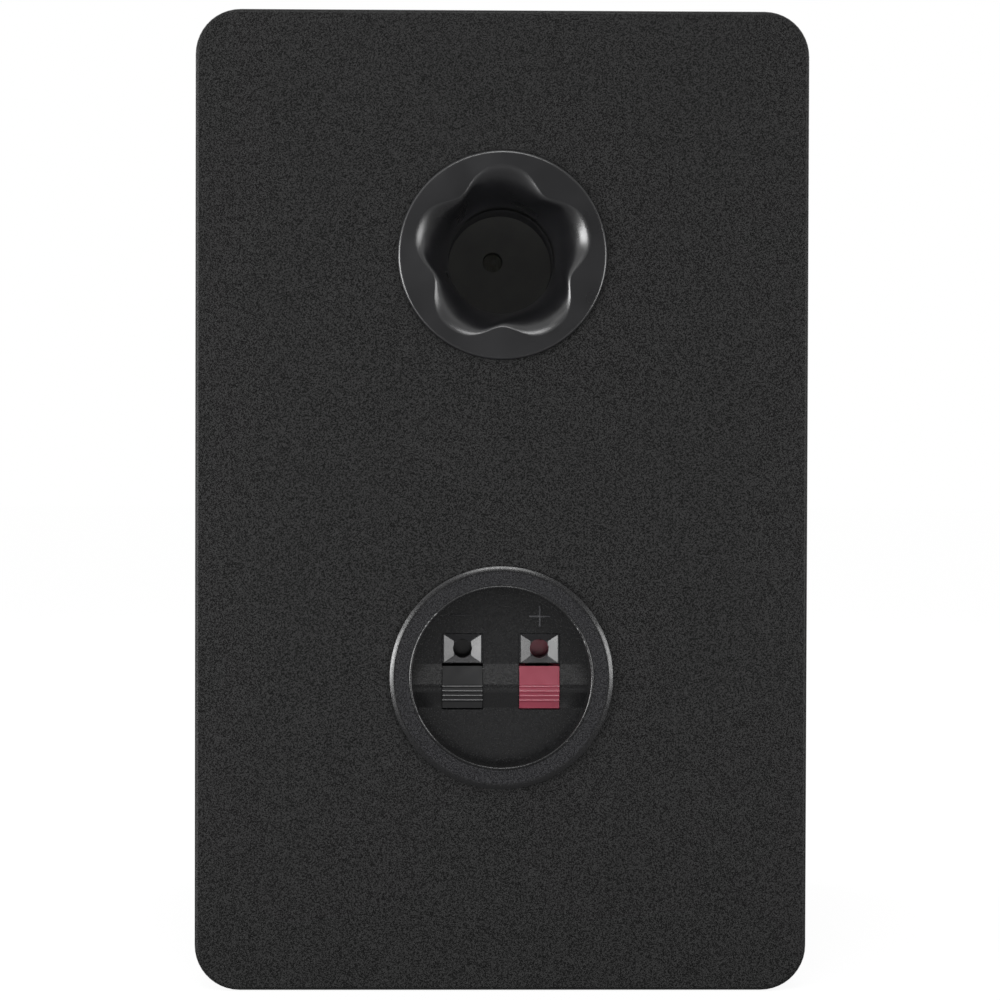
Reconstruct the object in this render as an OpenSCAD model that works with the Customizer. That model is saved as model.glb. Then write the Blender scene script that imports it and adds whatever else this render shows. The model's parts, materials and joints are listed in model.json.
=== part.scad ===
// Two-way ported bookshelf speaker: wrapped MDF cabinet, woofer, dome tweeter,
// twisted five-lobed rear port and a round cup with two push terminals.
// Millimetres. +Z is up, the drivers face -Y and the port and terminals face +Y.
// The origin is the centre of the cabinet's footprint, on its bottom face.

/* [Cabinet] */
// Width of the cabinet
cab_w = 150; // [146:1:190]
// Height of the cabinet
cab_h = 240; // [236:1:300]
// Depth of the cabinet, from baffle face to rear face
cab_d = 200; // [180:1:260]
// Thickness of the four wrapped panels
wall = 12; // [9:0.5:15]
// Thickness of the front baffle
baffle_t = 15; // [12:0.5:18]
// Thickness of the rear panel
rear_t = 12; // [9:0.5:15]
// Radius of the four long corners
corner_r = 11; // [6:0.5:11.5]
// Rounding of the baffle's front edge
front_edge_r = 3; // [1:0.25:4]
// Rounding of the rear panel's edge
rear_edge_r = 1; // [0.5:0.25:2]
// Depth of the tongues that locate the baffle and the rear panel
tongue = 5; // [3:0.5:8]
// Glue gap round a tongue
glue_gap = 0.2; // [0.1:0.05:0.4]

/* [Rear port] */
// Height of the port's axis above the base
port_z = 180.2; // [150:0.1:200]
// Radius of the round throat
port_r = 13.4; // [11:0.1:15]
// Radius of the flange
port_flange_r = 25.6; // [25:0.1:28]
// How far the flange stands off the rear panel
port_flange_t = 1.6; // [1.2:0.1:2.5]
// Radius of the mouth at the lobes
port_lobe_r = 22.2; // [20:0.1:22.5]
// Radius of the mouth between the lobes
port_valley_r = 17.6; // [16:0.1:20]
// Number of lobes
port_lobes = 5; // [3:1:7]
// How far the lobes turn from mouth to throat, in degrees
port_twist = 36; // [0:1:60]
// Depth of the flared part
port_flare_d = 21; // [18:1:30]
// Wall of the flare and the tube
port_wall = 2; // [1.6:0.1:2.5]
// Whole length of the port behind the rear face
port_length = 50; // [45:1:120]

/* [Terminal cup] */
// Height of the cup's axis above the base
cup_z = 76.9; // [60:0.1:95]
// Radius over the cup's outer lip
cup_r = 27.3; // [26.5:0.1:30]
// Radius of the recess at its mouth
cup_mouth_r = 21.9; // [21.8:0.1:22.6]
// Depth of the recess floor behind the rear face
cup_depth = 7; // [5:0.5:9]
// Thickness of the recess floor
cup_floor_t = 2; // [1.6:0.1:2.5]
// Distance between the two terminals
pole_pitch = 19; // [18:0.5:20]
// Radius of the wire holes
wire_hole_r = 2.35; // [1.5:0.05:2.4]
// Width of each lever
lever_w = 9.9; // [8:0.1:10.5]
// Running gap on each side of a lever
lever_gap = 0.15; // [0.1:0.05:0.3]
// Radius of the levers' pivot pins
lever_pin_r = 1.1; // [0.8:0.1:1.3]

/* [Woofer] */
// Height of the woofer's axis above the base
woofer_z = 79; // [72:0.5:82]
// Radius of the woofer's frame
woofer_r = 59; // [56:0.5:62]
// Radius of the cone at its rim
cone_r = 41; // [38:0.5:43]
// Radius of the voice coil former
coil_r = 12.8; // [12:0.1:14]
// Radius of the woofer's magnet
magnet_r = 32; // [28:0.5:36]
// Thickness of the woofer's magnet
magnet_t = 13; // [10:0.5:18]
// Travel of the cone each way
cone_travel = 3.5; // [2:0.5:4]

/* [Tweeter] */
// Height of the tweeter's axis above the base
tweeter_z = 190; // [184:0.5:192]
// Radius of the tweeter's faceplate
tweeter_r = 40; // [37:0.5:41]
// Radius of the dome
dome_r = 12.8; // [12:0.1:13.2]
// Radius of the tweeter's magnet
tweeter_magnet_r = 27; // [24:0.5:29]
// Radius of the vent through the tweeter's back plate
tweeter_vent_r = 3; // [2:0.1:4]

/* [Fits] */
// Clearance between moving faces and at loose joints
clearance = 0.3; // [0.2:0.05:0.4]
// Radial clearance of a pin that turns in its bearing
running_gap = 0.06; // [0.03:0.01:0.1]
// Clearance of a screw in its hole
screw_gap = 0.1; // [0.05:0.05:0.3]

/* [Hidden] */
$fn = 72;

// ---- cabinet, derived ----
inner_w = cab_w - 2 * wall;
inner_h = cab_h - 2 * wall;
inner_front_y = -cab_d / 2 + baffle_t;
inner_rear_y = cab_d / 2 - rear_t;
block_size = 14;
wadding_t = 8;
wadding_y = [inner_front_y + 20, inner_rear_y - 14];
wadding_z = 62;

// ---- port, derived ----
port_hole_r = 23.9;
port_collar_r = port_hole_r - 0.2;
port_collar_t = 1.1;
port_collar_d = 9;
port_tail = 10;
lip_start = 3;
flare_steps = 15;
flare_sides = 65;
lobe_sharpness = 0.15;
first_lobe = 90;

// ---- terminal cup, derived ----
cup_hole_r = 24.2;
cup_gasket_t = 0.6;
cup_flange_t = 1.2;
cup_edge_r = 3;
cup_edge_run = 1.55;
cup_skirt_r = 23.8;
cup_skirt_in_r = 22.2;
cup_skirt_d = 18;
cup_floor_r = 21.7;
floor_w = -cup_depth;
floor_back_w = floor_w - cup_floor_t;
// The band across the floor: two ramps that meet in a rounded crest
band_top_v = 2.8;
band_low_v = -8;
band_rise = 15;
band_fall = 18.5;
band_crest_r = 5;
band_rise_dir = [cos(band_rise), -sin(band_rise)];
band_fall_dir = [-cos(band_fall), -sin(band_fall)];
band_apex_v =
    (tan(band_rise) * band_top_v + tan(band_fall) * band_low_v) / (tan(band_rise) + tan(band_fall));
band_apex = [band_apex_v, tan(band_rise) * (band_top_v - band_apex_v)];
band_tangent = band_crest_r * tan((band_rise + band_fall) / 2);
band_centre = band_apex + band_rise_dir * band_tangent - band_crest_r * [sin(band_rise), cos(band_rise)];
band_wall = 1.7;
// The windows that the funnels and levers fill
window_w = lever_w + 2 * lever_gap;
window_top_v = 10.35;
window_low_v = -9;

// ---- push terminals, derived; u is across, v is up, w is out of the rear face ----
wire_v = 6.6;
funnel_size = [window_w - 0.3, 7.1];
funnel_mouth = [9.1, 6.8];
funnel_throat = [4.3, 3.6];
funnel_d = 1;
funnel_w = floor_w + 0.2;
funnel_back_w = floor_back_w - 3.2;
pivot_v = 1;
pivot_w = floor_back_w - 1.2;
pad_low_v = -8.2;
pad_top_v = 2.3;
pad_proud = 0.35;
pad_t = 2.3;
rib_count = 4;
rib_pitch = 1.15;
rib_first_v = -2.7;
rib_r = 0.35;
gate_w = funnel_back_w - 4.4;
gate_t = 1.6;
gate_top_v = 8.2;
gate_low_v = -1.4;
gate_window_v = [-0.2, 4.1];
arm_t = 1.5;
housing_u = 16.4;
housing_v = [-9.9, 12.4];
housing_back_w = floor_back_w - 14;
housing_wall = 2;
pocket_low_v = -9.2;
shelf_v = gate_low_v - 0.15;
shelf_t = 1.6;
pad_room_w = floor_back_w - 5.2;
ear_v = [-14.6, 16.6];
ear_r = 3.4;
boss_d = 6;
clip_screw_r = 1.1;
spring_t = 0.3;
strip_v = [3.3, 3.8];
strip_half_u = 2.2;
strip_tail_w = housing_back_w - 8;
lug_hole_r = 0.9;

// ---- woofer, derived; z is out of the baffle from the flange's seat ----
woofer_seat = 3;
woofer_gasket_t = 0.8;
basket_t = 1.2;
basket_open_r = 48;
basket_hole_r = 51.5;
basket_neck_r = 31;
basket_depth = 27;
surround_r = 47;
plate_t = 4;
gap_r = coil_r + 1.1;
pole_r = coil_r - 0.6;
spider_r = 28;
spider_z = -16;
cone_neck_z = -14.5;
cone_t = 0.7;
cone_curve_r = 62;
frame_top_z = woofer_gasket_t + basket_t;
cone_neck = [coil_r + 0.2, cone_neck_z];
cone_edge = [cone_r - 3, frame_top_z - 0.85];
cone_half = (cone_edge - cone_neck) / 2;
cone_centre = cone_neck + cone_half + [cone_half[1], -cone_half[0]]
    * sqrt(pow(cone_curve_r / norm(cone_half), 2) - 1);
woofer_screw_pcr = 54.4;
woofer_screw_r = 1.9;
plate_z = -basket_depth;
magnet_z = plate_z - plate_t;
yoke_z = magnet_z - magnet_t;
woofer_y = -cab_d / 2 + woofer_seat;
// Solder tabs of both drivers: distance from the middle, width and thickness
tab_x = 5;
tab_w = 2.8;
tab_t = 0.7;
strip_x = 8;
strip_y = -basket_neck_r - 2.8;
strip_z = [-24, -12.8];

// ---- tweeter, derived; z is out of the baffle from the faceplate's seat ----
tweeter_seat = 3;
tweeter_gasket_t = 0.5;
faceplate_t = 2.7;
tweeter_hole_r = 31.5;
tweeter_screw_pcr = 35.5;
tweeter_screw_r = 1.6;
horn_throat_r = dome_r + 4.2;
horn_mouth_r = 29;
tweeter_plate_t = 3;
tweeter_magnet_t = 10;
tweeter_gap_r = dome_r + 0.9;
tweeter_pole_r = dome_r - 0.6;
tweeter_plate_z = -5;
tweeter_boss_z = -1.8;
tweeter_seat_z = tweeter_boss_z - 0.6;
tweeter_magnet_z = tweeter_plate_z - tweeter_plate_t;
tweeter_yoke_z = tweeter_magnet_z - tweeter_magnet_t;
tweeter_yoke_t = 4;
tweeter_y = -cab_d / 2 + tweeter_seat;
tweeter_tab_y = -tweeter_magnet_r - 1.3;
tweeter_tab_z = -11;

// ---- crossover, derived ----
board_t = 1.6;
board_gap = 6;
board_x = 42;
board_y = [-8, 56];
board_z = wall + board_gap;
board_top_z = board_z + board_t;
board_screw_r = 1.5;
board_screw_bite = 7;
board_holes = [for (x = [-board_x + 5, board_x - 5]) for (y = [board_y[0] + 5, board_y[1] - 5]) [x, y]];
coil_places = [[-21, 33, 17, 17, 8], [24, 6, 12, 14, 6]];
capacitor_places = [[-18, 4, 6.5, 31], [20, 44, 5.5, 26]];
resistor_place = [22, 26];
resistor_size = [26, 9, 9];
lead_r = 0.4;

// ---- wires: routes chosen by hand ----
wire_r = 1.1;
wire_side = 8;
tinsel_r = 0.6;

// ================= helpers =================

// Places children, drawn with x across, y up and z outwards, on the rear face at height z
module on_rear(z) {
    translate([0, cab_d / 2, z]) rotate([90, 0, 180]) children();
}

// Places children, drawn with z outwards, on the baffle at depth y and height z
module on_baffle(y, z) {
    translate([0, y, z]) rotate([90, 0, 0]) children();
}

// Extrudes a plan in X and Z from y0 to y1
module along_depth(y0, y1) {
    translate([0, y1, 0]) rotate([90, 0, 0]) linear_extrude(y1 - y0) children();
}

// Extrudes a profile in v and w (drawn as x and y) across u, centred
module across(width) {
    translate([-width / 2, 0, 0]) rotate([90, 0, 90]) linear_extrude(width) children();
}

// One child at each terminal
module each_pole() {
    for (side = [-1, 1]) translate([side * pole_pitch / 2, 0, 0]) children();
}

// Copies children round the z axis, the first at start degrees
module around(count, start = 0) {
    for (i = [0:count - 1]) rotate([0, 0, start + i * 360 / count]) children();
}

// A flat ring from z0 to z1
module ring(r_in, r_out, z0, z1) {
    translate([0, 0, z0]) difference() {
        cylinder(r = r_out, h = z1 - z0);
        translate([0, 0, -1]) cylinder(r = r_in, h = z1 - z0 + 2);
    }
}

// The rectangle w by h with round corners, centred
module rounded_rect(w, h, r) {
    square([w - 2 * r, h], center = true);
    square([w, h - 2 * r], center = true);
    for (x = [-1, 1]) for (y = [-1, 1]) {
        translate([x * (w / 2 - r), y * (h / 2 - r)]) circle(r);
    }
}

// A closed skin through rings of points, the lowest ring first and each anticlockwise from above
module loft(rings) {
    count = len(rings[0]);
    last = len(rings) - 1;
    polyhedron(
        points = [for (one = rings) each one],
        faces = concat(
            [[for (i = [0:count - 1]) i]],
            [[for (i = [count - 1:-1:0]) last * count + i]],
            [for (k = [0:last - 1]) for (i = [0:count - 1])
                let (a = k * count + i, b = k * count + (i + 1) % count)
                each [[a, a + count, b + count], [a, b + count, b]]]
        )
    );
}

// The corners of a rectangle at height z
function square_ring(size, z) =
    [for (c = [[-1, -1], [1, -1], [1, 1], [-1, 1]]) [c[0] * size[0] / 2, c[1] * size[1] / 2, z]];

// Points on a smooth curve through a route, steps to a stretch
function curve_point(a, b, c, d, t) =
    0.5 * (2 * b + (c - a) * t + (2 * a - 5 * b + 4 * c - d) * t * t + (3 * b - a - 3 * c + d) * t * t * t);

function smooth_route(p, steps) = concat(
    [for (i = [0:len(p) - 2]) for (s = [0:steps - 1])
        curve_point(p[max(i - 1, 0)], p[i], p[i + 1], p[min(i + 2, len(p) - 1)], s / steps)],
    [p[len(p) - 1]]
);

function unit(v) = v / norm(v);

// A round tube swept along points; side is a direction that the route never follows
module sweep(points, r, side = [0.31, 0.23, 0.92]) {
    last = len(points) - 1;
    loft([for (i = [0:last])
        let (
            ahead = unit(points[min(i + 1, last)] - points[max(i - 1, 0)]),
            across_1 = unit(cross(ahead, side)),
            across_2 = cross(ahead, across_1)
        )
        [for (k = [0:wire_side - 1])
            points[i] + r * (cos(k * 360 / wire_side) * across_1 + sin(k * 360 / wire_side) * across_2)]]);
}

// A pan-head screw with a cross recess: its head's seat is at z = 0 and it points to -z
module pan_screw(shank_r, head_r, head_t, length) {
    difference() {
        union() {
            translate([0, 0, -length]) cylinder(r = shank_r, h = length + 0.2);
            intersection() {
                cylinder(r = head_r, h = head_t);
                translate([0, 0, head_t - 2.6 * head_r]) sphere(2.6 * head_r);
            }
        }
        for (turn = [0, 90]) rotate([0, 0, turn]) {
            translate([-head_r * 0.55, -head_r * 0.11, head_t * 0.35])
                cube([head_r * 1.1, head_r * 0.22, head_t]);
        }
    }
}

// ================= cabinet =================

module cabinet_outline() {
    translate([0, cab_h / 2]) rounded_rect(cab_w, cab_h, corner_r);
}

module inner_outline(gap = 0) {
    translate([0, cab_h / 2]) square([inner_w - 2 * gap, inner_h - 2 * gap], center = true);
}

// Removes the outer edge of a face at y outside a quarter round; out is the way that the face looks
module edge_cutter_profile(r) {
    difference() {
        square(r + 1);
        circle(r * 1.01);
    }
}

module edge_rounding(y, out, r) {
    straight_w = cab_w - 2 * corner_r;
    straight_h = cab_h - 2 * corner_r;
    translate([0, y, cab_h / 2]) rotate([out > 0 ? -90 : 90, 0, 0]) translate([0, 0, -r]) {
        for (turn = [0, 180]) rotate([0, 0, turn]) {
            translate([cab_w / 2 - r, straight_h / 2, 0]) rotate([90, 0, 0])
                linear_extrude(straight_h) edge_cutter_profile(r);
            rotate([0, 0, 90]) translate([cab_h / 2 - r, straight_w / 2, 0]) rotate([90, 0, 0])
                linear_extrude(straight_w) edge_cutter_profile(r);
        }
        for (x = [-1, 1]) for (z = [-1, 1]) {
            start = x > 0 ? (z > 0 ? 0 : 270) : (z > 0 ? 90 : 180);
            translate([x * straight_w / 2, z * straight_h / 2, 0]) rotate([0, 0, start])
                rotate_extrude(angle = 90) translate([corner_r - r, 0]) edge_cutter_profile(r);
        }
    }
}

// One of the four wrapped panels: the part of the wall that a mitred sector holds
module wrap_panel(sector) {
    color("#2b2b2d") along_depth(inner_front_y, inner_rear_y) difference() {
        intersection() {
            cabinet_outline();
            translate([0, cab_h / 2]) polygon(sector);
        }
        inner_outline();
    }
}

module side_panel(side) {
    x = side * inner_w / 2;
    z = inner_h / 2;
    far = wall + 1;
    wrap_panel([[x, -z], [x + side * far, -z - far], [x + side * far, z + far], [x, z]]);
}

module flat_panel(side) {
    x = inner_w / 2;
    z = side * inner_h / 2;
    far = wall + 1;
    wrap_panel([[-x, z], [-x - far, z + side * far], [x + far, z + side * far], [x, z]]);
}

module top_panel() {
    flat_panel(1);
}

module bottom_panel() {
    color("#2b2b2d") difference() {
        flat_panel(-1);
        for (p = board_holes) translate([p[0], p[1], wall - board_screw_bite - 0.5])
            cylinder(r = board_screw_r + screw_gap, h = board_screw_bite + 1);
    }
}

module left_panel() {
    side_panel(-1);
}

module right_panel() {
    side_panel(1);
}

module front_baffle() {
    front = -cab_d / 2;
    color("#2a2a2c") difference() {
        union() {
            along_depth(front, inner_front_y) cabinet_outline();
            along_depth(inner_front_y - 1, inner_front_y + tongue) inner_outline(glue_gap);
        }
        edge_rounding(front, -1, front_edge_r);
        on_baffle(woofer_y, woofer_z) {
            cylinder(r = woofer_r + clearance, h = woofer_seat + 1);
            translate([0, 0, -baffle_t - tongue]) cylinder(r = basket_hole_r, h = baffle_t + tongue + 1);
            woofer_screw_holes(-baffle_t);
        }
        on_baffle(tweeter_y, tweeter_z) {
            cylinder(r = tweeter_r + clearance, h = tweeter_seat + 1);
            translate([0, 0, -baffle_t - tongue]) cylinder(r = tweeter_hole_r, h = baffle_t + tongue + 1);
            tweeter_screw_holes(-baffle_t);
        }
    }
}

module rear_panel() {
    rear = cab_d / 2;
    color("#2b2b2d") difference() {
        union() {
            along_depth(inner_rear_y, rear) cabinet_outline();
            along_depth(inner_rear_y - tongue, inner_rear_y + 1) inner_outline(glue_gap);
        }
        edge_rounding(rear, 1, rear_edge_r);
        on_rear(port_z) translate([0, 0, -rear_t - tongue - 1])
            cylinder(r = port_hole_r, h = rear_t + tongue + 2);
        on_rear(cup_z) translate([0, 0, -rear_t - tongue - 1])
            cylinder(r = cup_hole_r, h = rear_t + tongue + 2);
    }
}

module corner_blocks() {
    y0 = inner_front_y + tongue + glue_gap;
    y1 = inner_rear_y - tongue - glue_gap;
    color("#b08d5f") along_depth(y0, y1) translate([0, cab_h / 2]) {
        for (x = [-1, 1]) for (z = [-1, 1]) {
            translate([x * inner_w / 2, z * inner_h / 2])
                polygon([[0, 0], [-x * block_size, 0], [0, -z * block_size]]);
        }
    }
}

// A sheet of wadding folded over the inside of the top and both sides
module wadding() {
    gap = clearance;
    color("#d9d8d2") along_depth(wadding_y[0], wadding_y[1]) difference() {
        translate([-inner_w / 2 + gap, wadding_z])
            square([inner_w - 2 * gap, cab_h - wall - gap - wadding_z]);
        translate([-inner_w / 2 + wadding_t, wadding_z - 1])
            square([inner_w - 2 * wadding_t, cab_h - wall - wadding_t - wadding_z + 1]);
        for (x = [-1, 1]) {
            corner = [x * inner_w / 2, cab_h - wall];
            reach = block_size + 1;
            translate(corner) polygon([[x, 1], [-x * reach, 1], [-x * reach, 0], [0, -reach], [x, -reach]]);
        }
    }
}

// ================= rear port =================

// Radius of the flare at an angle and at t degrees along its quarter-ellipse section
function lobe(angle) = cos(port_lobes * angle) - lobe_sharpness * cos(2 * port_lobes * angle);

function flare_depth(t) = port_flare_d * (cos(lip_start) - cos(t)) / cos(lip_start);

function flare_reach(angle) =
    (port_lobe_r + port_valley_r) / 2 + lobe_sharpness * (port_lobe_r - port_valley_r) / 2 - port_r
    + lobe(angle) * (port_lobe_r - port_valley_r) / 2;

function flare_r(angle, t) = port_r + flare_reach(angle) * (1 - sin(t)) / (1 - sin(lip_start));

function flare_ring(t, grow, w) = [for (i = [0:flare_sides - 1])
    let (
        turn = (i + 0.37) * 360 / flare_sides,
        twist = port_twist * flare_depth(t) / port_flare_d,
        r = flare_r(turn - first_lobe - twist, t) + grow
    )
    [r * cos(turn), r * sin(turn), w]];

// The ring at t along the flare, grown outwards by grow
function flare_level(t, grow) = flare_ring(t, grow, port_flange_t - flare_depth(t));

// Places along the flare's section, from the throat to first
function flare_angles(first, steps) = [for (k = [0:steps]) 90 - (90 - first) * k / steps];

flare_end_w = port_flange_t - port_flare_d;
port_tail_w = flare_end_w - port_tail;
tube_end_w = -port_length;

// Flange, collar and bell in one moulding; the lobes are sunk into its round bell
module port_flare() {
    hair = 0.04;
    edge_r = 0.7;
    bell_top = 0.5;
    first = acos(cos(lip_start) * (1 - (port_flange_t + bell_top) / port_flare_d));
    bell = [for (t = flare_angles(first, 9)) [
        port_r + port_wall + (port_lobe_r - port_r) * (1 - sin(t)) / (1 - sin(lip_start)),
        port_flange_t - flare_depth(t)
    ]];
    color("#242426") on_rear(port_z) difference() {
        rotate_extrude() difference() {
            polygon(concat(
                [[0, port_flange_t], [0, port_tail_w], [port_r + port_wall, port_tail_w]],
                bell,
                [
                    [port_collar_r - port_collar_t, -bell_top],
                    [port_collar_r - port_collar_t, -port_collar_d], [port_collar_r, -port_collar_d],
                    [port_collar_r, 0], [port_flange_r, 0], [port_flange_r, port_flange_t]
                ]
            ));
            translate([port_flange_r - edge_r, port_flange_t - edge_r]) edge_cutter_profile(edge_r);
        }
        loft(concat(
            [flare_ring(90, hair, flare_end_w - 0.5)],
            [for (t = flare_angles(lip_start, flare_steps)) flare_level(t, t == 90 ? hair : 0)],
            [flare_ring(lip_start, 0.4, port_flange_t + 1)]
        ));
        translate([0, 0, port_tail_w - 1]) cylinder(r = port_r, h = port_tail + 1.5);
    }
}

// The tube, with a belled socket over the flare's tail and a rolled inner end
module port_tube() {
    socket_in = port_r + port_wall + 0.1;
    socket_w = flare_end_w - 0.5;
    step_w = port_tail_w - 0.3;
    lip = 3;
    lip_r = 1.6;
    color("#1d1d1f") on_rear(port_z) rotate_extrude() difference() {
        polygon([
            [socket_in, socket_w], [socket_in + port_wall, socket_w],
            [socket_in + port_wall, step_w - 2], [port_r + port_wall, step_w - 5],
            [port_r + port_wall, tube_end_w + lip], [port_r + port_wall + lip_r, tube_end_w + lip],
            [port_r + port_wall + lip_r, tube_end_w], [port_r, tube_end_w],
            [port_r, step_w], [socket_in, step_w]
        ]);
        translate([port_r + lip_r, tube_end_w + lip_r]) rotate(180) edge_cutter_profile(lip_r);
    }
}

// ================= terminal cup =================

// Outline of the band across the floor, in v and w, lifted by proud
module band_outline(proud) {
    translate([0, floor_w + proud]) difference() {
        polygon([
            [band_top_v, 0], band_apex, [band_low_v, 0],
            [band_low_v, -cup_floor_t - 0.1], [band_top_v, -cup_floor_t - 0.1]
        ]);
        difference() {
            polygon([
                band_centre, band_apex + band_rise_dir * band_tangent + [0.2, 0.8], band_apex + [0, 1],
                band_apex + band_fall_dir * band_tangent + [-0.6, 0.8]
            ]);
            translate(band_centre) circle(band_crest_r * 1.004);
        }
    }
}

// The lower edge slants, so that it stays close to the lever's end as that swings in
module cup_windows() {
    each_pole() across(window_w) polygon([
        [window_top_v, floor_back_w - 3], [window_top_v, floor_w + 3], [window_low_v + 0.5, floor_w + 3],
        [window_low_v + 0.5, floor_w], [window_low_v, floor_back_w], [window_low_v, floor_back_w - 3]
    ]);
}

// Half section of the cup: skirt, flange with a softly rounded outer edge, recess and floor
module cup_profile() {
    flange_top = cup_gasket_t + cup_flange_t;
    difference() {
        polygon([
            [0, floor_back_w], [cup_skirt_in_r, floor_back_w], [cup_skirt_in_r, -cup_skirt_d],
            [cup_skirt_r, -cup_skirt_d], [cup_skirt_r, cup_gasket_t], [cup_r, cup_gasket_t],
            [cup_r, flange_top], [cup_mouth_r + 0.6, flange_top - 0.3],
            [cup_mouth_r, flange_top - 0.25], [cup_floor_r, floor_w], [0, floor_w]
        ]);
        difference() {
            translate([cup_r - cup_edge_run, flange_top - 0.9]) square([cup_edge_run + 1, 2]);
            translate([cup_r - cup_edge_run, flange_top - cup_edge_r]) circle(cup_edge_r * 1.002);
        }
    }
    translate([cup_mouth_r + 0.37, flange_top - 0.3]) circle(0.36);
}

module terminal_cup() {
    finger_slots = 4;
    color("#2a2a2c") on_rear(cup_z) difference() {
        union() {
            rotate_extrude() cup_profile();
            intersection() {
                across(2 * cup_floor_r + 1) band_outline(0);
                translate([0, 0, floor_back_w]) cylinder(r = cup_floor_r + 0.3, h = 8);
            }
            for (v = ear_v) translate([0, v, floor_back_w - boss_d]) cylinder(r = ear_r, h = boss_d + 0.5);
            around(finger_slots, 45) barb();
        }
        intersection() {
            across(2 * cup_floor_r - 3) band_outline(-band_wall);
            translate([0, 0, floor_back_w - 1]) cylinder(r = cup_floor_r - 0.7, h = 8);
        }
        cup_windows();
        for (v = ear_v) translate([0, v, floor_back_w - boss_d - 1])
            cylinder(r = clip_screw_r + screw_gap, h = boss_d + 1);
        around(2 * finger_slots, 22.5) translate([cup_skirt_in_r - 1, -0.8, -cup_skirt_d - 1])
            cube([4, 1.6, 6]);
    }
}

// A catch on the skirt that snaps behind the rear panel
module barb() {
    reach = 1.3;
    intersection() {
        rotate_extrude() polygon([
            [cup_skirt_r - 0.5, -rear_t - tongue - 0.15], [cup_skirt_r + reach, -rear_t - tongue - 0.15],
            [cup_skirt_r - 0.5, -cup_skirt_d - 2.5]
        ]);
        translate([0, -4, -cup_skirt_d - 3]) cube([40, 8, 8]);
    }
}

module terminal_gasket() {
    color("#151516") on_rear(cup_z) ring(cup_hole_r + 0.1, cup_r - 0.4, 0, cup_gasket_t);
}

// ================= push terminals =================

module guide_block() {
    translate([-funnel_size[0] / 2, wire_v - funnel_size[1] / 2, funnel_back_w])
        cube([funnel_size[0], funnel_size[1], funnel_w - funnel_back_w]);
}

// Blocks welded into the housing, each with a square funnel that leads a wire into its round hole
module wire_guides() {
    spread = (funnel_mouth - funnel_throat) * 1.1;
    color("#1f1f21") on_rear(cup_z) each_pole() difference() {
        guide_block();
        translate([0, wire_v, funnel_w - funnel_d])
            loft([square_ring(funnel_throat, 0), square_ring(funnel_throat + spread, 1.1 * funnel_d)]);
        translate([0, wire_v, funnel_back_w - 1]) cylinder(r = wire_hole_r, h = funnel_w - funnel_back_w + 2);
    }
}

module clip_housing() {
    half_room = window_w / 2 + 0.05;
    room_u = 5;
    slot_u = window_w / 2 + 1.1;
    color("#1f1f21") on_rear(cup_z) difference() {
        union() {
            translate([-housing_u, housing_v[0], housing_back_w])
                cube([2 * housing_u, housing_v[1] - housing_v[0], floor_back_w - housing_back_w]);
            for (v = ear_v) clip_ear(v);
        }
        // room below and behind the housing that the moulding leaves out
        translate([-housing_u - 1, housing_v[0] - 1, housing_back_w - 1])
            cube([
                2 * housing_u + 2, shelf_v - shelf_t - housing_v[0] + 1,
                pad_room_w - housing_wall - housing_back_w + 1
            ]);
        translate([-2.6, shelf_v, housing_back_w - 1]) cube([5.2, housing_v[1] - 2 - shelf_v, 9]);
        each_pole() {
            guide_block();
            translate([-half_room, pocket_low_v, pad_room_w])
                cube([
                    2 * half_room, wire_v - funnel_size[1] / 2 - pocket_low_v, floor_back_w - pad_room_w + 1
                ]);
            translate([-room_u, shelf_v, housing_back_w + housing_wall])
                cube([
                    2 * room_u, housing_v[1] - 1.4 - shelf_v, funnel_back_w - housing_back_w - housing_wall
                ]);
            translate([-slot_u, pivot_v, pivot_w]) rotate([0, 90, 0])
                cylinder(r = lever_pin_r + running_gap, h = 2 * slot_u);
            translate([-slot_u, pivot_v - lever_pin_r - running_gap, pivot_w])
                cube([2 * slot_u, 2 * (lever_pin_r + running_gap), floor_back_w - pivot_w + 1]);
            translate([-strip_half_u - 0.05, strip_v[0] - 0.05, housing_back_w - 1])
                cube([2 * strip_half_u + 0.1, strip_v[1] - strip_v[0] + 0.1, housing_wall + 2]);
        }
        for (v = ear_v) translate([0, v, housing_back_w - 2])
            cylinder(r = clip_screw_r + screw_gap, h = 20);
    }
}

// An ear that sits on the cup's boss and carries one screw
module clip_ear(v) {
    ear_w = floor_back_w - boss_d;
    edge = v > 0 ? housing_v[1] - 0.5 : housing_v[0] + 0.5;
    translate([0, v, ear_w - 2.5]) cylinder(r = ear_r, h = 2.4);
    translate([-ear_r, min(v, edge), ear_w - 2.5]) cube([2 * ear_r, abs(v - edge), 2.4]);
}

module clip_screws() {
    color("#9a9a9c") on_rear(cup_z) for (v = ear_v) {
        translate([0, v, floor_back_w - boss_d - 2.5]) rotate([180, 0, 0])
            pan_screw(clip_screw_r, 2.2, 1.5, 7.5);
    }
}

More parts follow.
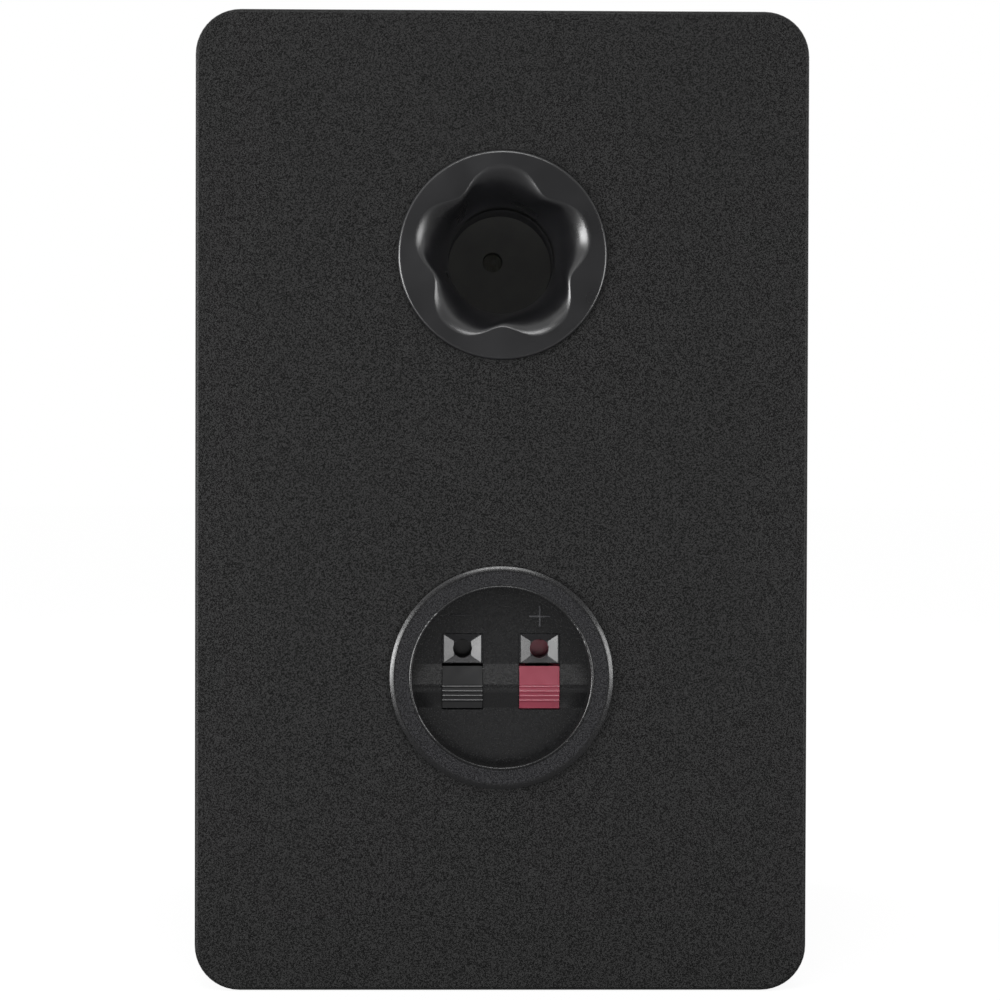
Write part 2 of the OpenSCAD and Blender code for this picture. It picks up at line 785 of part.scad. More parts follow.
// The lever in its own place: pad with ribs, pivot pins, two arms and the gate
module lever() {
    pad_reach = norm([pivot_v - pad_low_v, floor_w - pivot_w]);
    across(lever_w) difference() {
        intersection() {
            union() {
                band_outline(pad_proud);
                translate([pad_low_v - 1, floor_w - pad_t + pad_proud])
                    square([pad_top_v - pad_low_v + 1, pad_t]);
                for (i = [0:rib_count - 1]) {
                    v = rib_first_v - i * rib_pitch;
                    translate([v, band_height(v) + pad_proud - 0.05]) circle(rib_r);
                }
            }
            translate([pivot_v, pivot_w]) circle(pad_reach);
            translate([-20, -20]) square([20 + pad_top_v, 40]);
        }
        translate([0, -pad_t]) band_outline(pad_proud - 0.01);
        translate([pad_low_v + 1.6, floor_w - pad_t - 3]) square([pad_top_v - pad_low_v - 4.4, 3.4]);
    }
    for (side = [-1, 1]) translate([side * (lever_w / 2 - arm_t / 2), 0, 0]) across(arm_t) arm_outline();
    translate([-lever_w / 2 - 0.9, pivot_v, pivot_w]) rotate([0, 90, 0])
        cylinder(r = lever_pin_r, h = lever_w + 1.8);
    difference() {
        translate([-lever_w / 2 + 0.35, gate_low_v, gate_w - gate_t])
            cube([lever_w - 0.7, gate_top_v - gate_low_v, gate_t]);
        translate([-lever_w / 2 + 0.35 + arm_t + 0.5, gate_window_v[0], gate_w - gate_t - 1])
            cube([lever_w - 0.7 - 2 * arm_t - 1, gate_window_v[1] - gate_window_v[0], gate_t + 2]);
    }
}

// Height of the band's surface over v
function band_height(v) = floor_w + (
    v > band_apex_v + band_tangent * band_rise_dir[0] ? tan(band_rise) * (band_top_v - v)
    : v < band_apex_v + band_tangent * band_fall_dir[0] ? tan(band_fall) * (v - band_low_v)
    : band_centre[1] + sqrt(band_crest_r * band_crest_r - (v - band_centre[0]) * (v - band_centre[0])));

// Side view of a lever's arm, from the pad round the pivot to the gate
module arm_outline() {
    polygon([
        [pad_top_v - 0.2, floor_w - 0.6], [pad_top_v - 0.2, pivot_w - 1.6], [1.7, gate_w + 1],
        [1.7, gate_w - gate_t], [gate_low_v, gate_w - gate_t], [gate_low_v, gate_w + 2],
        [-1.4, pivot_w - 1.2], [-6.4, floor_w - 1.6], [-6, floor_w - 0.4]
    ]);
    translate([pivot_v, pivot_w]) circle(1.6);
}

module lever_negative() {
    color("#232325") on_rear(cup_z) translate([-pole_pitch / 2, 0, 0]) lever();
}

module lever_positive() {
    color("#b3303f") on_rear(cup_z) translate([pole_pitch / 2, 0, 0]) lever();
}

// Bent strips that hold the gates down on the wires
module clip_springs() {
    back_w = housing_back_w + housing_wall;
    roof_v = housing_v[1] - 1.4;
    tip = [gate_top_v + 0.25, gate_w - gate_t + 0.3];
    color("#c9b27a") on_rear(cup_z) each_pole() across(6) polygon([
        [roof_v, back_w], [roof_v, back_w + 3], [roof_v - spring_t, back_w + 3],
        [roof_v - spring_t, back_w + 1], tip + [spring_t, 0.5], tip + [spring_t + 0.35, 1.3],
        tip + [0.35, 1.5], tip, [roof_v - 1.2, back_w]
    ]);
}

// Contact strips under the wires, each with a solder lug behind the housing
module contact_strips() {
    color("#c8c8c4") on_rear(cup_z) each_pole() difference() {
        union() {
            translate([-strip_half_u, strip_v[0], housing_back_w - 1])
                cube([2 * strip_half_u, strip_v[1] - strip_v[0], funnel_back_w - housing_back_w]);
            translate([-1.4, strip_v[0], strip_tail_w])
                cube([2.8, strip_v[1] - strip_v[0], housing_back_w - strip_tail_w]);
        }
        translate([0, strip_v[0] - 1, strip_tail_w + 1.8]) rotate([-90, 0, 0])
            cylinder(r = lug_hole_r, h = 3);
    }
}

// ================= woofer =================

module woofer_screw_holes(low_z) {
    around(4, 45) translate([woofer_screw_pcr, 0, low_z])
        cylinder(r = woofer_screw_r + screw_gap, h = 5 - low_z);
}

// Frame pressed from sheet: flange, landing for the surround, six spokes and a seat for the plate
module woofer_basket() {
    t = basket_t;
    top = woofer_gasket_t;
    foot = plate_z + t;
    color("#3a3a3c") on_baffle(woofer_y, woofer_z) difference() {
        rotate_extrude() polygon([
            [basket_open_r, top], [woofer_r - 0.6, top], [woofer_r, top + 0.6], [woofer_r, top + t],
            [basket_open_r - t, top + t], [basket_open_r - t, top + t - 3.2],
            [basket_neck_r - t, spider_z + 4], [basket_neck_r - t, spider_z - 1],
            [spider_r - 1.6, spider_z - 1], [spider_r - 1.6, spider_z - 1 - t],
            [basket_neck_r - t - 1, spider_z - 1 - t], [basket_neck_r - 4, foot], [gap_r + 3, foot],
            [gap_r + 3, plate_z], [basket_neck_r - 2.6, plate_z], [basket_neck_r, spider_z - 1.2 - t],
            [basket_neck_r, spider_z + 3.6], [basket_open_r, top - 2.6]
        ]);
        around(6) translate([0, 0, spider_z + 4.6]) basket_window();
        woofer_screw_holes(-2);
        around(6) translate([gap_r + 8, 0, plate_z - 1]) cylinder(r = 1.6, h = 5);
    }
}

// One opening between two spokes, cut through the sloping wall
module basket_window() {
    intersection() {
        ring(basket_neck_r - 4, basket_open_r + 2, 0, -2.2 - spider_z - 4.6);
        linear_extrude(30) polygon([[0, 0], [70, 27], [70, -27]]);
    }
}

// Moulded ring that covers the frame's edge and holds the surround down
module woofer_trim_ring() {
    base = woofer_gasket_t + basket_t;
    inner = surround_r + 2.4;
    color("#222224") on_baffle(woofer_y, woofer_z) difference() {
        rotate_extrude() polygon([
            [inner, base + 0.9], [inner + 2.2, base + 0.9], [inner + 2.2, base],
            [woofer_r, base], [woofer_r, base + 1.4], [woofer_r - 1.2, base + 2.3],
            [inner + 1.6, base + 2.3], [inner, base + 1.8]
        ]);
        woofer_screw_holes(0);
        around(4, 45) translate([woofer_screw_pcr, 0, base + 0.9]) cylinder(r = 4.1, h = 5);
    }
}

module woofer_gasket() {
    color("#161617") on_baffle(woofer_y, woofer_z) difference() {
        ring(basket_hole_r + 0.2, woofer_r - 0.6, 0, woofer_gasket_t);
        woofer_screw_holes(-1);
    }
}

// Half-roll of rubber between the cone's rim and the frame
module woofer_surround() {
    base = woofer_gasket_t + basket_t;
    roll_mid = (cone_r + surround_r) / 2;
    roll_r = (surround_r - cone_r) / 2;
    skin = 0.7;
    color("#1b1b1c") on_baffle(woofer_y, woofer_z) rotate_extrude() {
        translate([roll_mid, base]) intersection() {
            difference() {
                circle(roll_r + 0.05);
                circle(roll_r - skin);
            }
            translate([-roll_r - 1, 0]) square([2 * roll_r + 2, roll_r + 1]);
        }
        translate([surround_r - skin / 2, base]) square([4.8, skin]);
        translate([cone_r - 3, base]) square([3 + skin / 2, skin]);
    }
}

// Height of the cone's rear face at a radius
function cone_back_z(r) = cone_centre[1] + sqrt(pow(cone_curve_r, 2) - pow(r - cone_centre[0], 2));

// Paper cone with a curved flare; its rim is glued under the surround
module woofer_cone() {
    color("#262628") on_baffle(woofer_y, woofer_z) rotate_extrude() {
        intersection() {
            translate(cone_centre) difference() {
                circle(cone_curve_r + cone_t, $fn = 200);
                circle(cone_curve_r, $fn = 200);
            }
            polygon([
                cone_neck - [0, 1], cone_edge + [0.2, -2], cone_edge + [0.2, 2], cone_neck + [0, 9]
            ]);
        }
        translate([cone_edge[0] - 0.1, frame_top_z - cone_t])
            square([cone_r - 0.4 - cone_edge[0], cone_t - 0.01]);
        translate([coil_r + 0.01, spider_z + 0.1]) square([cone_t, cone_neck_z - spider_z + 0.6]);
    }
}

module woofer_dust_cap() {
    rim_r = 16.5;
    rise = 5;
    ball_r = (rim_r * rim_r + rise * rise) / (2 * rise);
    seat_z = cone_neck_z + 4.6;
    color("#242426") on_baffle(woofer_y, woofer_z) rotate_extrude() intersection() {
        translate([0, seat_z + rise - ball_r]) difference() {
            circle(ball_r, $fn = 120);
            circle(ball_r - 0.7, $fn = 120);
        }
        translate([0, seat_z]) square([rim_r, rise + 1]);
    }
}

// Corrugated cloth disc that centres the coil
module woofer_spider() {
    waves = 4;
    pitch = (spider_r - 3 - coil_r - 2) / waves;
    amp = 1;
    t = 0.35;
    first = coil_r + 1.7;
    steps = 8 * waves;
    line = [for (i = [0:steps]) [first + i * pitch / 8, amp * sin(i * 45)]];
    color("#b98a3a") on_baffle(woofer_y, woofer_z) translate([0, 0, spider_z]) rotate_extrude() {
        polygon(concat(
            [[coil_r + clearance, -t], [first, -t]],
            [for (p = line) [p[0], p[1] - t]],
            [[spider_r + 1, -t], [spider_r + 1, 0], [first + waves * pitch, 0]],
            [for (i = [steps:-1:0]) [line[i][0], line[i][1]]],
            [[coil_r + clearance, 0]]
        ));
    }
}

// The winding is longer than the gap, so some of it stays in the gap over the whole travel
module woofer_voice_coil() {
    coil_len = plate_t + 2 * cone_travel - 2;
    former_low = plate_z - plate_t / 2 - coil_len / 2;
    color("#b5651d") on_baffle(woofer_y, woofer_z) {
        ring(coil_r - 0.2, coil_r, former_low - 0.5, cone_neck_z + 1.5);
        ring(coil_r - 0.01, coil_r + 0.6, former_low, former_low + coil_len);
    }
}

module woofer_top_plate() {
    color("#8a8a8c") on_baffle(woofer_y, woofer_z) ring(gap_r, magnet_r - 2, magnet_z, plate_z);
}

module woofer_magnet() {
    color("#2e2e30") on_baffle(woofer_y, woofer_z) difference() {
        ring(gap_r + 4, magnet_r, yoke_z, magnet_z);
        for (end = [0, 1]) translate([0, 0, end ? magnet_z : yoke_z]) rotate([end ? 0 : 180, 0, 0])
            rotate_extrude() translate([magnet_r - 1, -1]) rotate(0)
                polygon([[0, 1.01], [1.01, 1.01], [1.01, 0]]);
    }
}

module woofer_yoke() {
    color("#8a8a8c") on_baffle(woofer_y, woofer_z) rotate_extrude() polygon([
        [4, yoke_z - plate_t], [magnet_r - 4, yoke_z - plate_t], [magnet_r - 2, yoke_z - plate_t + 1.2],
        [magnet_r - 2, yoke_z], [pole_r, yoke_z], [pole_r, plate_z + 0.6], [pole_r - 1, plate_z + 1.2],
        [4, plate_z + 1.2]
    ]);
}

// Strip on the bottom spoke with a solder tab for each lead
module woofer_terminals() {
    strip_t = 1.6;
    strip_len = strip_z[1] - strip_z[0];
    color("#6b4a2a") on_baffle(woofer_y, woofer_z) difference() {
        union() {
            translate([-strip_x - 2.5, strip_y, strip_z[0]]) cube([2 * strip_x + 5, strip_t, strip_len]);
            translate([-4, strip_y + 0.5, strip_z[1] - 5]) cube([8, 4, 5]);
            for (x = [-1, 1]) translate([x * strip_x - tab_w / 2, strip_y - tab_t, strip_z[0] - 3])
                cube([tab_w, tab_t + 0.2, strip_len + 4.2]);
        }
        translate([0, 0, strip_z[0] - 1]) cylinder(r = basket_neck_r + 0.01, h = strip_len + 2);
    }
}

// Braided leads from the strip through a window of the frame to the back of the cone
module woofer_tinsel_leads() {
    tab_y = strip_y - tab_t - tinsel_r - 0.05;
    end_y = -21.6;
    end_z = cone_back_z(norm([strip_x, end_y])) - 1.3 * tinsel_r;
    color("#c98f5a") on_baffle(woofer_y, woofer_z) for (x = [-1, 1]) sweep(smooth_route([
        [x * strip_x, tab_y, strip_z[1] - 0.7], [x * (strip_x + 0.8), tab_y - 0.8, strip_z[1] + 2.3],
        [x * (strip_x + 1.3), -32.6, -7.4], [x * (strip_x + 0.9), -27.5, -9.2], [x * strip_x, end_y, end_z]
    ], 3), tinsel_r, [1, 0.1, 0]);
}

module woofer_screws() {
    color("#1a1a1b") on_baffle(woofer_y, woofer_z) around(4, 45)
        translate([woofer_screw_pcr, 0, woofer_gasket_t + basket_t + 0.9])
            pan_screw(woofer_screw_r, 3.7, 2.2, 14);
}

// ================= tweeter =================

module tweeter_screw_holes(low_z) {
    around(4, 45) translate([tweeter_screw_pcr, 0, low_z])
        cylinder(r = tweeter_screw_r + screw_gap, h = 5 - low_z);
}

// Faceplate with a shallow waveguide round the dome
module tweeter_faceplate() {
    top = tweeter_gasket_t + faceplate_t;
    color("#232325") on_baffle(tweeter_y, tweeter_z) difference() {
        rotate_extrude() difference() {
            polygon([
                [horn_throat_r, tweeter_boss_z], [tweeter_magnet_r - 2, tweeter_boss_z],
                [tweeter_magnet_r - 2, tweeter_gasket_t],
                [tweeter_r, tweeter_gasket_t], [tweeter_r, top - 0.8], [tweeter_r - 0.8, top],
                [horn_throat_r, top]
            ]);
            translate([horn_mouth_r, top]) guide_section(top);
        }
        tweeter_screw_holes(0);
        around(4, 45) translate([tweeter_screw_pcr, 0, top - 1.3]) cylinder(r = 3.3, h = 5);
    }
}

// The waveguide's section: a quarter of a flat ellipse made from one large arc
module guide_section(top) {
    run = horn_mouth_r - horn_throat_r;
    drop = top + 1.2;
    arc_r = (run * run + drop * drop) / (2 * drop);
    difference() {
        translate([-run - 1, -drop]) square([run + 1, drop + 1]);
        translate([0, -arc_r]) circle(arc_r, $fn = 160);
    }
}

module tweeter_gasket() {
    color("#161617") on_baffle(tweeter_y, tweeter_z) difference() {
        ring(tweeter_hole_r + 0.3, tweeter_r - 0.5, 0, tweeter_gasket_t);
        tweeter_screw_holes(-1);
    }
}

// Half-roll of coated cloth round the dome, clamped under the faceplate
module tweeter_surround() {
    roll_r = 1.5;
    skin = 0.35;
    mid = dome_r + roll_r + 0.1;
    color("#1c1c1e") on_baffle(tweeter_y, tweeter_z) translate([0, 0, tweeter_seat_z]) rotate_extrude() {
        translate([mid, 0]) intersection() {
            difference() {
                circle(roll_r + 0.05);
                circle(roll_r - skin);
            }
            translate([-roll_r - 1, 0]) square([2 * roll_r + 2, roll_r + 1]);
        }
        translate([mid + roll_r - skin / 2, 0]) square([5, skin]);
    }
}

module tweeter_dome() {
    rise = 5;
    skin = 0.35;
    ball_r = (dome_r * dome_r + rise * rise) / (2 * rise);
    color("#202022") on_baffle(tweeter_y, tweeter_z) translate([0, 0, tweeter_seat_z]) rotate_extrude()
        intersection() {
            translate([0, rise - ball_r]) difference() {
                circle(ball_r, $fn = 120);
                circle(ball_r - skin, $fn = 120);
            }
            square([dome_r - 0.1, rise + 1]);
        }
}

module tweeter_voice_coil() {
    low = tweeter_plate_z - tweeter_plate_t + 0.4;
    color("#b5651d") on_baffle(tweeter_y, tweeter_z) {
        ring(dome_r - 0.35, dome_r - 0.2, low - 0.4, tweeter_seat_z - 0.01);
        ring(dome_r - 0.21, dome_r + 0.2, low, low + 2.2);
    }
}

module tweeter_top_plate() {
    color("#8a8a8c") on_baffle(tweeter_y, tweeter_z) union() {
        ring(tweeter_gap_r, tweeter_magnet_r - 1.5, tweeter_magnet_z, tweeter_plate_z);
        ring(dome_r + 4.6, dome_r + 8, tweeter_plate_z - 0.1, tweeter_seat_z);
    }
}

module tweeter_magnet() {
    color("#2e2e30") on_baffle(tweeter_y, tweeter_z)
        ring(tweeter_gap_r + 3, tweeter_magnet_r, tweeter_yoke_z, tweeter_magnet_z);
}

module tweeter_yoke() {
    low = tweeter_yoke_z - tweeter_yoke_t;
    color("#8a8a8c") on_baffle(tweeter_y, tweeter_z) rotate_extrude() polygon([
        [tweeter_vent_r, low], [tweeter_magnet_r - 3, low], [tweeter_magnet_r - 1.5, low + 1.2],
        [tweeter_magnet_r - 1.5, tweeter_yoke_z], [tweeter_pole_r, tweeter_yoke_z],
        [tweeter_pole_r, tweeter_plate_z + 0.2], [tweeter_vent_r, tweeter_plate_z + 0.2]
    ]);
}

// Felt on the pole and down its vent
module tweeter_felt() {
    color("#6d6d6b") on_baffle(tweeter_y, tweeter_z) {
        translate([0, 0, tweeter_plate_z + 0.2]) cylinder(r = tweeter_pole_r - 1.5, h = 1.4);
        translate([0, 0, tweeter_yoke_z + 1])
            cylinder(r = tweeter_vent_r - 0.05, h = tweeter_plate_z - tweeter_yoke_z);
    }
}

// Two tabs on the back of the faceplate, beside the magnet
module tweeter_terminals() {
    color("#c8a85a") on_baffle(tweeter_y, tweeter_z) for (x = [-1, 1]) {
        translate([x * tab_x - tab_w / 2, tweeter_tab_y, tweeter_tab_z])
            cube([tab_w, tab_t, tweeter_gasket_t - tweeter_tab_z - 0.01]);
    }
}

module tweeter_screws() {
    top = tweeter_gasket_t + faceplate_t;
    color("#1a1a1b") on_baffle(tweeter_y, tweeter_z) around(4, 45)
        translate([tweeter_screw_pcr, 0, top - 1.3]) pan_screw(tweeter_screw_r, 2.9, 1.7, 12);
}

// ================= crossover =================

module crossover_board() {
    color("#7a5a2c") difference() {
        translate([-board_x, board_y[0], board_z]) cube([2 * board_x, board_y[1] - board_y[0], board_t]);
        for (p = board_holes) translate([p[0], p[1], board_z - 1])
            cylinder(r = board_screw_r + screw_gap, h = board_t + 2);
    }
}

module crossover_spacers() {
    color("#d8d6cc") for (p = board_holes) translate([p[0], p[1], wall])
        ring(board_screw_r + screw_gap, 3.2, 0, board_gap);
}

module crossover_screws() {
    color("#9a9a9c") for (p = board_holes) translate([p[0], p[1], board_top_z])
        pan_screw(board_screw_r, 2.9, 1.9, board_t + board_gap + board_screw_bite);
}

// Bobbins: x, y, outer radius, height and bore radius of each
module inductor_bobbins() {
    color("#26262a") for (p = coil_places) translate([p[0], p[1], board_top_z]) {
        ring(p[4], p[4] + 1.5, 0, p[3]);
        ring(p[4] + 1.4, p[2], 0, 1.5);
        ring(p[4] + 1.4, p[2], p[3] - 1.5, p[3]);
    }
}

module inductor_windings() {
    color("#b4622a") for (p = coil_places) translate([p[0], p[1], board_top_z])
        ring(p[4] + 1.6, p[2] - 1.6, 1.6, p[3] - 1.6);
}

module capacitors() {
    color("#8c2f2a") for (p = capacitor_places) translate([p[0], p[1], board_top_z + p[2]]) {
        translate([-p[3] / 2, 0, 0]) rotate([0, 90, 0]) rotate_extrude() polygon([
            [0, 0], [p[2] - 0.8, 0], [p[2] - 0.05, 0.8], [p[2] - 0.05, p[3] - 0.8],
            [p[2] - 0.8, p[3]], [0, p[3]]
        ]);
        for (x = [-1, 1]) translate([x * (p[3] / 2 + 1.2), 0, 0]) {
            translate([0, 0, -p[2]]) cylinder(r = lead_r, h = p[2] + lead_r);
            rotate([0, -x * 90, 0]) cylinder(r = lead_r, h = 2);
        }
    }
}

module resistor() {
    place = [resistor_place[0], resistor_place[1], board_top_z];
    color("#e6e3da") translate(place) {
        translate([-resistor_size[0] / 2, -resistor_size[1] / 2, 1.5]) cube(resistor_size);
        for (x = [-1, 1]) translate([x * (resistor_size[0] / 2 + 1.4), 0, 0]) {
            cylinder(r = lead_r, h = 1.5 + resistor_size[2] / 2 + lead_r);
            translate([0, 0, 1.5 + resistor_size[2] / 2]) rotate([0, -x * 90, 0]) cylinder(r = lead_r, h = 2);
        }
    }
}

// ================= wires =================

module input_wires() {
    lug_y = cab_d / 2 + strip_tail_w;
    lug_z = cup_z + strip_v[0] - wire_r - 0.15;
    x0 = pole_pitch / 2;
    color("#a33a34") for (x = [-1, 1]) sweep(smooth_route([
        [x * x0, lug_y + 2.4, lug_z], [x * x0, lug_y - 4, lug_z - 1], [x * x0, 59, lug_z - 9],
        [x * (x0 - 0.5), 54.5, 45], [x * (x0 - 1), 53.5, 30], [x * (x0 - 1), 53.5, board_top_z + 0.1]
    ], 3), wire_r, [1, 0.05, 0.02]);
}

module woofer_wires() {
    tab_y = woofer_y - strip_z[0];
    tab_z = woofer_z + strip_y - tab_t - wire_r - 0.15;
    color("#3f6f9a") for (x = [-1, 1]) sweep(smooth_route([
        [x * strip_x, tab_y - 1, tab_z], [x * strip_x, tab_y + 7, tab_z],
        [x * strip_x, tab_y + 18, tab_z - 2.5],
        [x * strip_x, -30, 32], [x * strip_x, -14, 29], [x * strip_x, -5.9, 25],
        [x * strip_x, -5.5, board_top_z + 0.1]
    ], 3), wire_r, [1, 0.05, 0.02]);
}

module tweeter_wires() {
    tab_y = tweeter_y - tweeter_tab_z;
    tab_z = tweeter_z + tweeter_tab_y - wire_r - 0.15;
    color("#4a7a45") for (x = [-1, 1]) sweep(smooth_route([
        [x * tab_x, tab_y - 5, tab_z], [x * tab_x, tab_y + 3, tab_z], [2 + x * 4, tab_y + 11, tab_z - 1],
        [22 + x * 1.6, -58, 140], [44 + x * 1.6, -34, 105], [46 + x * 1.6, -5, 70],
        [42 + x * 1.6, 12, 42], [38 + x * 2, 19.5, 28], [38 + x * 2, 20, board_top_z + 0.1]
    ], 3), wire_r, [0.8, 0.6, 0]);
}

top_panel();
bottom_panel();
left_panel();
right_panel();
front_baffle();
rear_panel();
corner_blocks();
wadding();
port_flare();
port_tube();
terminal_cup();
terminal_gasket();
clip_housing();
wire_guides();
clip_screws();
lever_negative();
lever_positive();
clip_springs();
contact_strips();
woofer_basket();
woofer_trim_ring();
woofer_gasket();
woofer_surround();
woofer_cone();
woofer_dust_cap();
woofer_spider();
woofer_voice_coil();
woofer_top_plate();
woofer_magnet();
woofer_yoke();
woofer_terminals();
woofer_tinsel_leads();
woofer_screws();
tweeter_faceplate();
tweeter_gasket();
tweeter_surround();
tweeter_dome();
tweeter_voice_coil();
tweeter_top_plate();
tweeter_magnet();
tweeter_yoke();
tweeter_felt();
tweeter_terminals();
tweeter_screws();
crossover_board();
crossover_spacers();
crossover_screws();
inductor_bobbins();
inductor_windings();
capacitors();
resistor();
input_wires();
woofer_wires();
tweeter_wires();
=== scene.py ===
import json
import math

import bmesh
import bpy
from mathutils import Matrix, Vector, noise
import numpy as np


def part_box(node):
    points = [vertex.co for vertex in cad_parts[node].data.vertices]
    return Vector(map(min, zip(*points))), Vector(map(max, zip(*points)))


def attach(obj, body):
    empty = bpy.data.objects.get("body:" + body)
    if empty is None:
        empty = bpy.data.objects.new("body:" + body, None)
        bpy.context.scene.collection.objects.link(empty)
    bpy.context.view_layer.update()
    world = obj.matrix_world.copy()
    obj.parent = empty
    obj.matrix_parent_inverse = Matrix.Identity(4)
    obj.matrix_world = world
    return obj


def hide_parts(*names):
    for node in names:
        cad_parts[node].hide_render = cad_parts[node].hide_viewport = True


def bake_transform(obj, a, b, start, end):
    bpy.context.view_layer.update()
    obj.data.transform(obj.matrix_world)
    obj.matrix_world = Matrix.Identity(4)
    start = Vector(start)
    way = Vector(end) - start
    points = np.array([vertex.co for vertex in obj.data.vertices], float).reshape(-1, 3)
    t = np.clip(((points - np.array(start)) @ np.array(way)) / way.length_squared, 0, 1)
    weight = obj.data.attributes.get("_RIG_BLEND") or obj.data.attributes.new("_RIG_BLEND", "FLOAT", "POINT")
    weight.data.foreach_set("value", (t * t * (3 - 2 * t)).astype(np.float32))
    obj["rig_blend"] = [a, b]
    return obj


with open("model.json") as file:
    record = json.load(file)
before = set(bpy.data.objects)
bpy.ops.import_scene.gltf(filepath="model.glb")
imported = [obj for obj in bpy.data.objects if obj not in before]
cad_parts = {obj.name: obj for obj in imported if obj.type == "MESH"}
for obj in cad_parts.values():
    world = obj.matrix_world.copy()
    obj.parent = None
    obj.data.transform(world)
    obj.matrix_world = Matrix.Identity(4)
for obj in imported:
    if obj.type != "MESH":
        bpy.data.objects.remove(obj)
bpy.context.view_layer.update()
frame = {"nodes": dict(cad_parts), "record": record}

MM = 0.001


# ================= frames =================

# The rear face seen from behind: u to the right, v up and w out of the face
SEEN_FROM_BEHIND = Matrix(((-1, 0, 0), (0, 0, 1), (0, 1, 0)))
# The baffle: z runs out of it
OUT_OF_BAFFLE = Matrix(((1, 0, 0), (0, 0, -1), (0, 1, 0)))
# Millimetres that the drivers' seats lie behind the baffle's face
SEAT_DEPTH = 3.0
REAR_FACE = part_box("rear_panel")[1].y
DRIVER_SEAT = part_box("front_baffle")[0].y + SEAT_DEPTH * MM


def face_frame(node, face, turn):
    """Millimetres in a turned frame that stands on a face at some Y, centred on a node."""
    low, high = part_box(node)
    centre = ((low.x + high.x) / 2, face, (low.z + high.z) / 2)
    return Matrix.Translation(centre) @ turn.to_4x4() @ Matrix.Scale(MM, 4)


PORT = face_frame("port_flare", REAR_FACE, SEEN_FROM_BEHIND)
CUP = face_frame("terminal_gasket", REAR_FACE, SEEN_FROM_BEHIND)
WOOFER = face_frame("woofer_cone", DRIVER_SEAT, OUT_OF_BAFFLE)
TWEETER = face_frame("tweeter_dome", DRIVER_SEAT, OUT_OF_BAFFLE)


# ================= materials =================

# Places of a Mix node's sockets for colours
FACTOR, FIRST_COLOUR, SECOND_COLOUR, MIXED_COLOUR = 0, 6, 7, 2
# Metres that move the grain off its own lattice. A flat face could lie on it and lose its pattern
GRAIN_SHIFT = (0.00013, 0, 0.00011)
# Metres between the bands of a wave texture of scale 1
BAND_LENGTH = 0.314
BAND_WOBBLE = 0.6
# Painted shade between two threads: the share of the colour that is left there
PAINTED_SHADE_BETWEEN_THREADS = 0.55


def paint(code):
    """Linear colour of an sRGB hex value."""
    parts = [int(code[i:i + 2], 16) / 255 for i in (1, 3, 5)]
    return [c / 12.92 if c <= 0.04045 else ((c + 0.055) / 1.055) ** 2.4 for c in parts] + [1.0]


def emptied_tree(owner):
    """The node tree of a material or world, without the nodes it comes with."""
    owner.use_nodes = True
    owner.node_tree.nodes.clear()
    return owner.node_tree


def add(tree, kind, inputs, **settings):
    """Adds a node; each input takes a value, a socket, or a node's first output."""
    node = tree.nodes.new("ShaderNode" + kind)
    for name, value in settings.items():
        setattr(node, name, value)
    for name, value in inputs.items():
        if isinstance(value, bpy.types.Node):
            value = value.outputs[0]
        if isinstance(value, bpy.types.NodeSocket):
            tree.links.new(value, node.inputs[name])
        else:
            node.inputs[name].default_value = value
    return node


